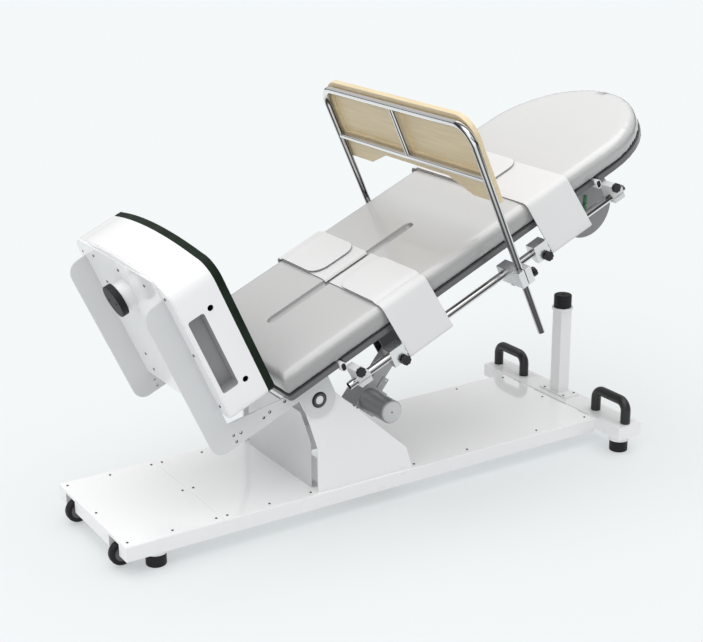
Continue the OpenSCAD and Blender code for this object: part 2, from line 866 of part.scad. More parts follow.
// A flat oval, upright along the second axis
module oval(wide, high) {
  for (side = [-1, 1]) translate([0, side * (high - wide) / 2]) circle(r = wide / 2);
  square([wide, high - wide], center = true);
}

module rail_tubes() {
  color("white") on_bed() both_sides() for (a = oval_at) translate([a, 0, oval_mid]) difference() {
    plate_xz(long_y, oval_end) oval(oval_a, oval_m);
    plate_xz(long_y - over, oval_end + over) oval(oval_a - 2 * oval_wall, oval_m - 2 * oval_wall);
  }
}

module tube_plugs() {
  color("black") on_bed() both_sides() for (a = oval_at) translate([a, 0, oval_mid])
    plate_xz(oval_end - plug_t, oval_end - plug_t / 2)
      oval(oval_a - 2 * oval_wall - 2 * fit_gap, oval_m - 2 * oval_wall - 2 * fit_gap);
}

// An arm beside each rail tube that drops to a split clamp round the rail
module rail_bracket(a) {
  neck = a + oval_a / 2;
  difference() {
    union() {
      block([neck, bracket_y0, bracket_high], [neck + bracket_neck_a, bracket_y1, bracket_top]);
      block([neck, bracket_y0 + plug_t, bracket_low], [neck + bracket_a, bracket_y1, bracket_high]);
    }
    translate([0, rail_y, rail_m]) rod_x(rail_r + fit_gap, neck - over, neck + bracket_a + over);
    block([neck - over, rail_y, rail_m - bracket_slit / 2],
      [neck + bracket_a + over, bracket_y1 + over, rail_m + bracket_slit / 2]);
    translate([neck + bracket_neck_a / 2, 0, bracket_knob_m])
      rod_y(knob_stem_r + fit_gap, bracket_y1 - knob_stem_l - over, bracket_y1 + over);
  }
}

module rail_brackets() { color("white") on_bed() both_sides() for (a = oval_at) rail_bracket(a); }

// A clamp knob: the stem points down into its hole and the lobed head stands above the seat
module lobed_knob() {
  difference() {
    translate([0, 0, knob_neck_h]) cylinder(r = knob_r, h = knob_h);
    for (i = [0 : knob_lobes - 1]) rotate([0, 0, 360 * i / knob_lobes])
      translate([knob_r + knob_lobe_out, 0, knob_neck_h - over])
        cylinder(r = knob_lobe_r, h = knob_h + 2 * over);
  }
  translate([0, 0, seat_gap]) cylinder(r = knob_neck_r, h = knob_neck_h - seat_gap);
  translate([0, 0, -knob_stem_l]) cylinder(r = knob_stem_r, h = knob_stem_l + seat_gap);
}

module rail_knob(a, side) {
  color("black") on_bed() mirror([0, side < 0 ? 1 : 0, 0])
    translate([a + oval_a / 2 + bracket_neck_a / 2, bracket_y1, bracket_knob_m]) rotate([-90, 0, 0])
      lobed_knob();
}

module near_foot_knob() { rail_knob(oval_at[0], -1); }

module far_foot_knob() { rail_knob(oval_at[0], 1); }

module near_head_knob() { rail_knob(oval_at[1], -1); }

module far_head_knob() { rail_knob(oval_at[1], 1); }

// Clamp block on the rail with a bar beside it that the strap is looped on, on the far side
module strap_clamp(a) {
  difference() {
    translate([a - clamp_a, 0, 0]) rotate([90, 0, 90]) linear_extrude(clamp_a)
      polygon(concat([[clamp_y0, clamp_top], [clamp_y0, rail_m - rail_r]],
        corner([clamp_y0, rail_m - rail_r], [clamp_y1 - clamp_corner * 2, clamp_low], [clamp_y1, clamp_low],
          clamp_corner),
        [[clamp_y1, clamp_low], [clamp_y1, clamp_top]]));
    translate([0, rail_y, rail_m]) rod_x(rail_r + fit_gap, a - clamp_a - over, a + over);
    block([a - clamp_a - over, clamp_y0 - over, rail_m - bracket_slit / 2],
      [a + over, rail_y, rail_m + bracket_slit / 2]);
    translate([a - clamp_a * clamp_knob_share, 0, bar_m])
      rod_y(knob_stem_r + fit_gap, clamp_y1 - knob_stem_l - over, clamp_y1 + over);
  }
  translate([0, bar_y, bar_m]) rod_x(bar_r, a, a + strap_w + clamp_back + bar_extra);
}

module near_knee_clamp() { color("silver") on_bed() mirror([0, 1, 0]) strap_clamp(knee_a - clamp_back); }

module far_knee_clamp() { color("silver") on_bed() strap_clamp(knee_a - clamp_back); }

module chest_clamps() { color("silver") on_bed() both_sides() strap_clamp(chest_a - chest_lead); }

module clamp_knob(a) {
  color("black") on_bed() translate([a - clamp_a * clamp_knob_share, clamp_y1, bar_m]) rotate([-90, 0, 0])
    lobed_knob();
}

module near_knee_knob() { mirror([0, 1, 0]) clamp_knob(knee_a - clamp_back); }

module far_knee_knob() { clamp_knob(knee_a - clamp_back); }

module near_chest_knob() { mirror([0, 1, 0]) clamp_knob(chest_a - chest_lead); }

module far_chest_knob() { clamp_knob(chest_a - chest_lead); }

// Inner or outer line of a strap from the mattress top round its edge and round the bar, far side
strap_low = bed_top + strap_gap;
function strap_line(off) =
  let (c = [mattress_hw - strap_bend + strap_gap, strap_low - strap_bend])
  let (p = [bar_y, bar_m], r = strap_bend + off, q = strap_loop_r + off, d = p - c)
  let (t = atan2(d[1], d[0]) + acos((r - q) / norm(d)))
  concat(arc(c, r, 90, t, strap_steps), arc(p, q, t, t - strap_wrap, wrap_steps));

function flipped(points) = [for (i = [len(points) - 1 : -1 : 0]) points[i]];

function mirrored(points) = [for (i = [len(points) - 1 : -1 : 0]) [-points[i][0], points[i][1]]];

// The raised end of the strap that lies over the other one, from its free end outwards
function flap(from, to) =
  let (top = strap_low + strap_t)
  [[from, top], [from, top + strap_t], [to, top + strap_t], [to + flap_ramp, top]];

// Two layers: one comes out of the groove, the other comes from the rail and lies over it
module knee_profile() {
  dip = strap_groove_dip;
  polygon(concat([[strap_groove_in - strap_t / 2, strap_low + strap_t]], flap(flap_in, inner_out),
    strap_line(strap_t), flipped(strap_line(0)),
    [[strap_groove_in, strap_low], [strap_groove_in - dip, strap_low - dip],
      [strap_groove_in - dip - strap_t, strap_low - dip]]));
}

module strap_solid() { rotate([90, 0, 90]) linear_extrude(strap_w) children(); }

module near_knee_strap() {
  color("whitesmoke") on_bed() translate([knee_a, 0, 0]) mirror([0, 1, 0]) strap_solid() knee_profile();
}

module far_knee_strap() {
  color("whitesmoke") on_bed() translate([knee_a, 0, 0]) strap_solid() knee_profile();
}

module chest_profile() {
  polygon(concat(mirrored(strap_line(strap_t)), flap(chest_flap_in, chest_flap_out), strap_line(strap_t),
    flipped(strap_line(0)), flipped(mirrored(strap_line(0)))));
}

module chest_strap() {
  color("whitesmoke") on_bed() translate([chest_a, 0, 0]) strap_solid() chest_profile();
}

// Two-way clamp: along the rail in one direction and round the tray leg in the other, far side
module tray_clamp() {
  a0 = tray_a - tray_clamp_a / 2;
  a1 = tray_a + tray_clamp_a / 2;
  difference() {
    union() {
      block([a0, clamp_y0, tray_clamp_low],
        [a0 + tray_clamp_a * tray_block_share, rail_y + rail_r * 2, tray_clamp_top]);
      block([a0, rail_y + rail_r * 2, tray_clamp_low], [a1, tray_clamp_out, tray_clamp_top]);
    }
    translate([0, rail_y, rail_m]) rod_x(rail_r + fit_gap, a0 - over, a1 + over);
    translate([tray_a, tray_y, tray_clamp_low - over])
      cylinder(r = tray_r + fit_gap, h = tray_clamp_top - tray_clamp_low + 2 * over);
    block([tray_a - tray_slit / 2, tray_y, tray_clamp_low - over],
      [tray_a + tray_slit / 2, tray_clamp_out + over, tray_clamp_top + over]);
    translate([0, leg_knob_y, rail_m]) rod_x(knob_stem_r + fit_gap, a1 - knob_stem_l - over, a1 + over);
    translate([tray_a, rail_knob_y, tray_clamp_low - over])
      cylinder(r = knob_stem_r + fit_gap, h = knob_stem_l + 2 * over);
  }
}

module tray_clamps() { color("silver") on_bed() both_sides() tray_clamp(); }

module tray_rail_knob() {
  color("black") on_bed() translate([tray_a, rail_knob_y, tray_clamp_low]) rotate([180, 0, 0]) lobed_knob();
}

module tray_leg_knob() {
  color("black") on_bed() translate([tray_a + tray_clamp_a / 2, leg_knob_y, rail_m]) rotate([0, 90, 0])
    lobed_knob();
}

module near_tray_rail_knob() { mirror([0, 1, 0]) tray_rail_knob(); }

module far_tray_rail_knob() { tray_rail_knob(); }

module near_tray_leg_knob() { mirror([0, 1, 0]) tray_leg_knob(); }

module far_tray_leg_knob() { tray_leg_knob(); }

module tray_frame() {
  low = bed_top - tray_drop;
  high = bed_top + tray_top;
  color("silver") on_bed() translate([tray_a, 0, 0]) {
    both_sides() {
      translate([0, tray_y, low]) cylinder(r = tray_r, h = high - tray_bend - low);
      translate([0, tray_y - tray_bend, high - tray_bend]) rotate([0, -90, 0])
        rotate_extrude(angle = 90) translate([tray_bend, 0]) circle(r = tray_r);
    }
    translate([0, 0, high]) rod_y(tray_r, -tray_y + tray_bend, tray_y - tray_bend);
    translate([0, 0, bed_top + bar_low]) rod_y(tray_bar_r, -tray_y, tray_y);
    translate([0, 0, bed_top + bar_low]) cylinder(r = tray_mid_r, h = tray_top - bar_low);
  }
}

module tray_board_outline() {
  cut = board_low + board_notch;
  polygon(concat([[board_cut_y, cut], [board_lug_y, board_low], [board_hw, board_low]],
    arc([board_hw - board_corner, board_top - board_corner], board_corner, 0, 90, strap_steps),
    arc([-board_hw + board_corner, board_top - board_corner], board_corner, 90, 180, strap_steps),
    [[-board_hw, board_low], [-board_lug_y, board_low], [-board_cut_y, cut]]));
}

module tray_board() {
  back = tray_a + tray_r + board_gap;
  color("burlywood") on_bed() translate([0, 0, bed_top]) difference() {
    translate([back, 0, 0]) rotate([90, 0, 90]) linear_extrude(tray_board_t) tray_board_outline();
    both_sides() block([back - over, pocket_y0, pocket_n0], [back + pocket_d, pocket_y1, pocket_n1]);
  }
}

// The lowest edge of the stop comes down on the deck when the bed stands upright
stop_face = (deck_z + stop_gap - pivot_z - (bed_top + stop_n - stop_r) * cos(upright_tilt))
  / sin(upright_tilt);
arm_in = arm_y - arm_t;

module arm_outline() {
  polygon(concat(
    corner([-wing_back, 0], [-wing_back, wing_top], [-carrier_a, wing_top], wing_r),
    [[-carrier_a + carrier_t, wing_top], [-carrier_a + carrier_t, -arm_heel_n],
      [-arm_mid, -arm_mid_n], [-arm_head, -arm_tip_n], [-arm_head, -arm_tip_low],
      [-arm_head - arm_heel_back, -arm_low]],
    corner([0, -arm_low], [-wing_back, -arm_low], [-wing_back, 0], arm_low_r)));
}

module foot_arms() {
  color("white") on_bed() translate([0, 0, bed_top]) both_sides() difference() {
    plate_xz(arm_in, arm_y) arm_outline();
    for (spot = arm_small_at)
      translate([spot[0], 0, spot[1]]) rod_y(arm_small_r, arm_in - over, arm_y + over);
    for (spot = arm_big_at) translate([spot[0], 0, spot[1]]) rod_y(arm_big_r, arm_in - over, arm_y + over);
  }
}

module foot_carrier() {
  color("lightgray") on_bed() translate([0, 0, bed_top]) {
    block([-carrier_a, -arm_in, -carrier_low], [-carrier_a + carrier_t, arm_in, carrier_top]);
    translate([0, 0, stop_n]) rod_x(spacer_r, stop_face + stop_t, -carrier_a);
  }
}

// Outline of the foot casing in Y and Z, with its arched top, drawn in by a distance
module casing_outline(inset) {
  hw = casing_hw - inset;
  rise = casing_top - casing_edge;
  half = casing_shoulder_y;
  crown_r = (half * half + rise * rise) / (2 * rise);
  lean = asin(half / crown_r);
  r = casing_corner - inset;
  polygon(concat(
    arc([-hw + casing_low_r, -casing_low + inset + casing_low_r], casing_low_r, 180, 270, fillet_steps),
    arc([hw - casing_low_r, -casing_low + inset + casing_low_r], casing_low_r, 270, 360, fillet_steps),
    arc([hw - r, casing_edge - casing_corner], r, 0, 90 - lean, corner_steps),
    arc([0, casing_top - crown_r], crown_r - inset, 90 - lean, 90 + lean, wrap_steps),
    arc([-hw + r, casing_edge - casing_corner], r, 90 + lean, 180, corner_steps)));
}

// A rectangle with round corners
module rounded(low, high, r) {
  for (x = [low[0] + r, high[0] - r], y = [low[1] + r, high[1] - r]) translate([x, y]) circle(r = r);
  translate([low[0] + r, low[1]]) square([high[0] - low[0] - 2 * r, high[1] - low[1]]);
  translate([low[0], low[1] + r]) square([high[0] - low[0], high[1] - low[1] - 2 * r]);
}

module across(a0, a1) { translate([a0, 0, 0]) rotate([90, 0, 90]) linear_extrude(a1 - a0) children(); }

module foot_casing() {
  back = -carrier_a + carrier_t;
  front = back + casing_d;
  color("white") on_bed() translate([0, 0, bed_top]) difference() {
    union() {
      across(back, back + casing_wall) casing_outline(rim_inset);
      across(back + casing_wall, front) casing_outline(0);
    }
    difference() {
      across(back + casing_wall, front + over) casing_outline(casing_wall);
      both_sides() block(
        [back, casing_hw - recess_d - casing_wall, recess_n0 - casing_wall],
        [back + recess_a1 + casing_wall, casing_hw, recess_n1 + casing_wall]);
      both_sides() block([back, rib_y - rib_t / 2, -casing_low + casing_wall],
        [front, rib_y + rib_t / 2, casing_edge]);
    }
    both_sides() plate_xz(casing_hw - recess_d, casing_hw + over)
      rounded([back + recess_a0, recess_n0], [back + recess_a1, recess_n1], recess_r);
    both_sides() for (n = grip_hole_n) translate([back + grip_hole_a, 0, n])
      rod_y(grip_hole_r, casing_hw - casing_wall - over, casing_hw + over);
  }
}

module foot_mat() {
  front = -carrier_a + carrier_t + casing_d;
  color("darkgreen") on_bed() translate([0, 0, bed_top]) across(front, front + mat_t) casing_outline(0);
}

module stop_buffer() {
  color("black") on_bed() translate([0, 0, bed_top + stop_n]) difference() {
    rod_x(stop_r, stop_face, stop_face + stop_t);
    both_sides() translate([0, stop_hole_y, 0])
      rod_x(stop_hole_r, stop_face - over, stop_face + stop_hole_d);
  }
}

module foot_screws() {
  high = carrier_low + carrier_top;
  color("gray") on_bed() translate([0, 0, bed_top - carrier_low]) {
    for (y = [-carrier_screw_y, carrier_screw_y], share = carrier_screw_shares)
      translate([0, y, high * share]) rod_x(foot_head_r, -carrier_a - foot_head_t, -carrier_a);
    translate([0, 0, high * carrier_screw_shares[len(carrier_screw_shares) - 1]])
      rod_x(foot_head_r, -carrier_a - foot_head_t, -carrier_a);
    for (y = [-arm_y - strip_w / 2, arm_y + strip_w / 2], share = strip_screw_shares)
      translate([0, y, carrier_low + casing_edge * share])
        rod_x(foot_head_r, -carrier_a + carrier_t - foot_head_t, -carrier_a + carrier_t);
  }
}

// The dial hangs from the outer face of the near long bed tube
dial_back = long_y;
module angle_dial() {
  color("gray") on_bed() translate([dial_a, 0, dial_m]) mirror([0, 1, 0]) {
    difference() {
      rod_y(dial_r, dial_back, dial_back + dial_t);
      block([-dial_r, dial_back - over, oval_mid - oval_m / 2 - over - dial_m],
        [dial_r, dial_back + dial_t + over, dial_r + over]);
    }
    rod_y(dial_pin_r, dial_back, dial_back + dial_pin_l);
    block([-dial_strap_w / 2, dial_back - long_w, -dial_strap_w / 2],
      [dial_strap_w / 2, dial_back, under_m - dial_m]);
  }
}

// A plumb pointer: it hangs upright whatever the tilt of the bed
module dial_pointer() {
  y0 = dial_back + dial_t + seat_gap;
  color("green") on_bed() translate([dial_a, 0, dial_m]) rotate([0, rest_tilt, 0]) mirror([0, 1, 0])
    difference() {
      union() {
        rod_y(pointer_eye_r, y0, y0 + pointer_t);
        plate_xz(y0, y0 + pointer_t)
          polygon([[-pointer_w / 2, pointer_tail], [pointer_w / 2, pointer_tail], [pointer_w / 2, 0],
            [pointer_tip_w / 2, -pointer_len], [-pointer_tip_w / 2, -pointer_len], [-pointer_w / 2, 0]]);
      }
      rod_y(dial_pin_r + fit_gap, y0 - over, y0 + pointer_t + over);
    }
}

trunnion_at = [motor_x + trunnion_gap * cos(act_angle), motor_z + trunnion_gap * sin(act_angle)];
trunnion_rel = trunnion_at - [pivot_x, pivot_z];
trunnion_a = trunnion_rel[0] * cos(rest_tilt) + trunnion_rel[1] * sin(rest_tilt);
trunnion_m = -trunnion_rel[0] * sin(rest_tilt) + trunnion_rel[1] * cos(rest_tilt);

// Two lugs that hang from the bed frame and carry the actuator between them
module actuator_bracket() {
  c = [trunnion_a, trunnion_m];
  foot = [lug_foot, under_m];
  head = [lug_head, under_m];
  color("black") on_bed() both_sides() difference() {
    plate_xz(lug_y, lug_y + lug_t) polygon(concat([foot],
      arc(c, lug_r, tangent_angle(foot, c, lug_r, 1), tangent_angle(head, c, lug_r, -1) + 360, wrap_steps),
      [head]));
    translate([c[0], 0, c[1]]) rod_y(trunnion_r + fit_gap, lug_y - over, lug_y + lug_t + over);
  }
}

module actuator_housing() {
  color("lightgray") on_actuator() difference() {
    union() {
      block([-gear_back, -gear_y, -gear_low], [gear_front, gear_y, gear_half]);
      block([gear_front, -cover_s / 2, -cover_s / 2], [cover_l, cover_s / 2, cover_s / 2]);
      translate([trunnion_gap, 0, 0]) rod_y(trunnion_pad_r, -cover_s / 2 - trunnion_pad_t,
        cover_s / 2 + trunnion_pad_t);
      block([tab_l0, -cover_s / 2 - tab_t, -tab_out], [tab_l1, -cover_s / 2, -tab_in]);
    }
    rod_x(screw_r + fit_gap, -gear_back - over, cover_l - cover_wall);
    block([gear_front, -cover_s / 2 + cover_wall, -cover_s / 2 + cover_wall],
      [trunnion_gap - trunnion_pad_r * 2, cover_s / 2 - cover_wall, cover_s / 2 - cover_wall]);
    block([trunnion_gap + trunnion_pad_r * 2, -cover_s / 2 + cover_wall, -cover_s / 2 + cover_wall],
      [cover_l - cover_wall, cover_s / 2 - cover_wall, cover_s / 2 - cover_wall]);
    for (side = [-1, 1]) translate([trunnion_gap, 0, 0])
      rod_y(trunnion_r + fit_gap, min(side * pin_inner, side * cover_s),
        max(side * pin_inner, side * cover_s));
    for (z = [-tab_in - tab_hole_r * 2, -tab_out + tab_hole_r * 2])
      translate([tab_l1 - tab_hole_r * 2, 0, z])
        rod_y(tab_hole_r, -cover_s / 2 - tab_t - over, -cover_s / 2 + over);
  }
}

module actuator_pin() {
  head = lug_y + lug_t;
  color("silver") on_actuator() translate([trunnion_gap, 0, 0]) both_sides() {
    rod_y(trunnion_r, pin_inner + seat_gap, head);
    rod_y(trunnion_pad_r, head + seat_gap, head + trunnion_pad_t);
    rod_y(trunnion_r, head, head + seat_gap);
  }
}

module actuator_motor() {
  color("gray") on_actuator() {
    rod_y(motor_r, -gear_y - motor_l + motor_ring, -gear_y);
    rod_y(motor_r - motor_ring, -gear_y - motor_l, -gear_y - motor_l + motor_ring);
    rod_y(motor_cap_r, -gear_y - motor_l - motor_ring, -gear_y - motor_l);
  }
}

// The screw runs through the gearbox, up into the cover tube and down to its eye in the pedestal
module actuator_screw() {
  color("silver") on_actuator() {
    rod_x(screw_r, -act_len + eye_r / 2, screw_out);
    difference() {
      translate([-act_len, 0, 0]) rod_y(eye_r, -eye_half, eye_half);
      translate([-act_len, 0, 0]) rod_y(eye_pin_r + fit_gap, -eye_half - over, eye_half + over);
    }
    translate([-act_len, 0, 0]) rod_y(eye_pin_r, -eye_half, eye_half);
  }
}

base_frame();
foot_deck_plate();
main_deck_plate();
deck_screws();
wheel_axles();
near_wheel();
far_wheel();
cross_beam();
foot_collars();
rubber_feet();
lift_handles();
support_post();
post_buffer();
pedestal_plates();
pedestal_front_panel();
screw_clevis();
pivot_tube();
pivot_caps();
bed_frame();
pivot_ears();
pivot_bushes();
mattress_board();
mattress();
side_rails();
rail_tubes();
tube_plugs();
rail_brackets();
actuator_bracket();
foot_arms();
foot_carrier();
foot_casing();
foot_mat();
stop_buffer();
foot_screws();
angle_dial();
dial_pointer();
actuator_housing();
actuator_motor();
actuator_pin();
actuator_screw();
near_knee_strap();
far_knee_strap();
chest_strap();
near_knee_clamp();
far_knee_clamp();
chest_clamps();
tray_clamps();
tray_frame();
tray_board();
near_knee_knob();
far_knee_knob();
near_chest_knob();
far_chest_knob();
near_tray_rail_knob();
far_tray_rail_knob();
near_tray_leg_knob();
far_tray_leg_knob();
near_foot_knob();
far_foot_knob();
near_head_knob();
far_head_knob();
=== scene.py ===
"""Dresses the physiotherapy tilt table: finishes, padded pieces, fasteners, camera and studio."""
from __future__ import annotations

import json
import logging
import math
from dataclasses import dataclass
from enum import Enum
from typing import Callable, Iterable, Sequence

import bmesh
import bpy
from mathutils import Matrix, Vector


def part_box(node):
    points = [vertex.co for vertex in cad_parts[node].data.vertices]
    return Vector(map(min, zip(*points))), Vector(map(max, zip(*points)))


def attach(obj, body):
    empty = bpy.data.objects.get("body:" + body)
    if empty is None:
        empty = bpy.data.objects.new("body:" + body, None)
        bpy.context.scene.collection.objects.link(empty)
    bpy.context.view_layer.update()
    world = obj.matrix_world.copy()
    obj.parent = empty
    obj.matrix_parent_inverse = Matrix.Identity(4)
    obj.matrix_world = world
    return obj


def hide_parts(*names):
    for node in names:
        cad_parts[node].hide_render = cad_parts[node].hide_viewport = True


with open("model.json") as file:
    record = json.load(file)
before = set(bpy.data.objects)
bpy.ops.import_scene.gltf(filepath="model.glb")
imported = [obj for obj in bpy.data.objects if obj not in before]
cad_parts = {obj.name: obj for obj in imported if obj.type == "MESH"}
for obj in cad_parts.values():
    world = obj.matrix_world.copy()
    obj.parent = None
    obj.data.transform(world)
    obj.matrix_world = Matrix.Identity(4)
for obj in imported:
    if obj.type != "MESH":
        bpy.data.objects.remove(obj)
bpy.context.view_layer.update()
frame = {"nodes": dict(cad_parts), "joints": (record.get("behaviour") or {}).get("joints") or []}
MM = 0.001
SMOOTH_ANGLE = math.radians(35)
NEAREST = 0.00001
MERGE = 0.000001
FINE_DETAIL, BROAD_DETAIL, TONE_DETAIL = 2.0, 3.0, 4.0
log = logging.getLogger("tilt_table")

Colour = tuple[float, float, float]
Point = Sequence[float]
Line = tuple[tuple[float, float], ...]
Points = list[tuple[float, float]]
Tree, Node, Socket = bpy.types.NodeTree, bpy.types.Node, bpy.types.NodeSocket
BMesh, Piece = bmesh.types.BMesh, bpy.types.Object
Value = float | str | Point | Socket


class Side(Enum):
    """Which side of the bed a piece lies on, as the sign of its Y."""

    NEAR = -1
    FAR = 1


@dataclass(frozen=True)
class Place:
    """A named frame of millimetres: the level base, or the tilted bed with X along it and Z off its face."""

    matrix: Matrix

    @classmethod
    def of_base(cls) -> Place:
        """Puts the base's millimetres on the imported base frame, whose foot end is zero.

        Returns:
            The place of the base.
        """
        return cls(Matrix.Translation((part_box("base_frame")[0].x, 0.0, 0.0)) @ Matrix.Scale(MM, 4))

    @classmethod
    def of_bed(cls) -> Place:
        """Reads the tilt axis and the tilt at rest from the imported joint.

        Returns:
            The place of the bed at rest.
        """
        joint = next(j for j in frame["joints"] if j["name"] == "bed_tilt")
        tilt = math.radians(-joint["range_deg"][0])
        return cls(Matrix.Translation(joint["pos_m"]) @ Matrix.Rotation(-tilt, 4, "Y") @ Matrix.Scale(MM, 4))


def fill(tree: Tree, node: Node, values: dict[str | int, Value]) -> None:
    """Links or fills a node's inputs.

    Args:
        tree: The node tree.
        node: The node.
        values: Output sockets to link, or values to fill in, by the name or number of the input.
    """
    for key, value in values.items():
        if isinstance(value, Socket):
            tree.links.new(value, node.inputs[key])
        else:
            node.inputs[key].default_value = value


def add_node(tree: Tree, kind: str, values: dict[str | int, Value] | None = None, **options: object) -> Node:
    """Adds a node to a tree.

    Args:
        tree: The node tree.
        kind: The node's type.
        values: What its inputs are linked to or filled with.
        options: The node's own settings by name.

    Returns:
        The node.
    """
    node = tree.nodes.new(kind)
    for name, option in options.items():
        setattr(node, name, option)
    fill(tree, node, values or {})
    return node


def new_group(name: str, kind: str, inputs: dict[str, str], outputs: dict[str, str]) -> Tree:
    """Makes an empty node group with named sockets.

    Args:
        name: The group's name.
        kind: The node tree's type.
        inputs: Socket names and what they hold, such as Float.
        outputs: Socket names and what they hold.

    Returns:
        The new node group, with its input and output nodes.
    """
    tree = bpy.data.node_groups.new(name, kind)
    for way, sockets in (("INPUT", inputs), ("OUTPUT", outputs)):
        for label, sort in sockets.items():
            tree.interface.new_socket(label, in_out=way, socket_type=f"NodeSocket{sort}")
    tree.nodes.new("NodeGroupInput").name = "in"
    tree.nodes.new("NodeGroupOutput").name = "out"
    return tree


def math_node(tree: Tree, operation: str, *values: float | Socket) -> Socket:
    """Adds a Math node on numbers or sockets, and gives its output."""
    return add_node(tree, "ShaderNodeMath", dict(enumerate(values)), operation=operation).outputs[0]


def vector_node(tree: Tree, operation: str, *values: Point | Socket) -> Node:
    """Adds a Vector Math node on vectors or sockets."""
    return add_node(tree, "ShaderNodeVectorMath", dict(enumerate(values)), operation=operation)


def noise_node(tree: Tree, vector: Socket, scale: float | Socket, detail: float) -> Socket:
    """Adds a noise texture on the given coordinates, and gives its value."""
    return add_node(tree, "ShaderNodeTexNoise", {"Vector": vector, "Scale": scale, "Detail": detail}).outputs[0]


def ramp_node(tree: Tree, amount: Socket, stops: Sequence[tuple[float, float | Colour]]) -> Socket:
    """Runs a value through a ramp of colours or grey levels.

    Args:
        tree: The node tree.
        amount: The value.
        stops: The places and their colours or levels, in order.

    Returns:
        The ramp's colour.
    """
    ramp = add_node(tree, "ShaderNodeValToRGB", {"Fac": amount})
    elements = ramp.color_ramp.elements
    elements[0].position, elements[1].position = stops[0][0], stops[-1][0]
    for place, _ in stops[1:-1]:
        elements.new(place)
    for element, (_, level) in zip(elements, stops):
        element.color = (*level, 1.0) if isinstance(level, tuple) else (level, level, level, 1.0)
    return ramp.outputs[0]


def surface_grain_group() -> Tree:
    """Builds the group that gives a surface its fine grain and its slow change of gloss.

    Returns:
        A group with a roughness and a height.
    """
    tree = new_group(
        "surface_grain", "ShaderNodeTree",
        {"Vector": "Vector", "Fine Scale": "Float", "Broad Scale": "Float", "Roughness": "Float",
         "Drift": "Float"},
        {"Roughness": "Float", "Height": "Float"},
    )
    source = tree.nodes["in"].outputs
    fine = noise_node(tree, source["Vector"], source["Fine Scale"], FINE_DETAIL)
    broad = noise_node(tree, source["Vector"], source["Broad Scale"], BROAD_DETAIL)
    swing = math_node(tree, "MULTIPLY", math_node(tree, "SUBTRACT", broad, 0.5), source["Drift"])
    rough = math_node(tree, "ADD", swing, source["Roughness"])
    fill(tree, tree.nodes["out"], {"Roughness": rough, "Height": fine})
    return tree


def tone_drift_group() -> Tree:
    """Builds the group that lets a colour drift a little over the surface.

    Returns:
        A group with a colour.
    """
    tree = new_group(
        "tone_drift", "ShaderNodeTree",
        {"Vector": "Vector", "Color": "Color", "Scale": "Float", "Drift": "Float"},
        {"Color": "Color"},
    )
    source = tree.nodes["in"].outputs
    noise = noise_node(tree, source["Vector"], source["Scale"], TONE_DETAIL)
    value = math_node(tree, "SUBTRACT", 1.0, math_node(tree, "MULTIPLY", noise, source["Drift"]))
    shade = add_node(tree, "ShaderNodeHueSaturation", {"Color": source["Color"], "Value": value})
    fill(tree, tree.nodes["out"], {"Color": shade.outputs[0]})
    return tree


GRAIN = surface_grain_group()
TONE = tone_drift_group()


@dataclass(frozen=True)
class Finish:
    """A plain finish: a colour that drifts a little, and a fine grain in its gloss and relief."""

    name: str
    slot: str
    colour: Colour
    metallic: float = 0.0
    roughness: float = 0.3
    drift: float = 0.06
    tone: float = 0.04
    tone_scale: float = 3.0
    fine_scale: float = 900.0
    broad_scale: float = 5.0
    relief: float = 0.00004
    coat: float = 0.0
    coat_roughness: float = 0.03
    coat_ior: float = 1.5
    specular: float = 0.5
    glow: float = 0.0

    def material(self) -> bpy.types.Material:
        """Builds the material, or gives the one that was built before.

        Returns:
            The finished material.
        """
        label = f"{self.name}_finish"
        known = bpy.data.materials.get(label)
        if known:
            return known
        made = bpy.data.materials.new(label)
        made.use_nodes = True
        tree = made.node_tree
        vector = add_node(tree, "ShaderNodeTexCoord").outputs["Object"]
        tone = add_node(tree, "ShaderNodeGroup", {
            "Vector": vector, "Color": self.paint(tree, vector), "Scale": self.tone_scale, "Drift": self.tone,
        }, node_tree=TONE)
        grain = add_node(tree, "ShaderNodeGroup", {
            "Vector": vector, "Fine Scale": self.fine_scale, "Broad Scale": self.broad_scale,
            "Roughness": self.roughness, "Drift": self.drift,
        }, node_tree=GRAIN).outputs
        height = self.carve(tree, vector, grain["Height"])
        bump = add_node(tree, "ShaderNodeBump", {"Distance": self.relief, "Height": height})
        fill(tree, tree.nodes["Principled BSDF"], {
            "Base Color": tone.outputs["Color"], "Roughness": grain["Roughness"], "Normal": bump.outputs[0],
            "Metallic": self.metallic, "Coat Weight": self.coat, "Coat IOR": self.coat_ior,
            "Coat Roughness": self.coat_roughness, "Specular IOR Level": self.specular,
            "Emission Strength": self.glow, "Emission Color": (*self.colour, 1.0),
        })
        return made

    def paint(self, tree: Tree, vector: Socket) -> Point | Socket:
        """Gives the base colour before its drift; a plain finish has its one colour."""
        return (*self.colour, 1.0)

    def carve(self, tree: Tree, vector: Socket, grain: Socket) -> Socket:
        """Gives the height; a plain finish has its fine grain alone."""
        return grain


@dataclass(frozen=True)
class WoodFinish(Finish):
    """A veneer whose grain runs across the tray."""

    dark: Colour = (0.74, 0.60, 0.38)
    stretch: Point = (14.0, 1.0, 14.0)
    line_scale: float = 6.0
    line_detail: float = 6.0
    span: tuple[float, float] = (0.35, 0.75)

    def paint(self, tree: Tree, vector: Socket) -> Socket:
        """Mixes the pale and the dark wood along stretched noise."""
        mapping = add_node(tree, "ShaderNodeMapping", {"Scale": self.stretch, "Vector": vector})
        lines = noise_node(tree, mapping.outputs[0], self.line_scale, self.line_detail)
        return ramp_node(tree, lines, tuple(zip(self.span, (self.colour, self.dark))))


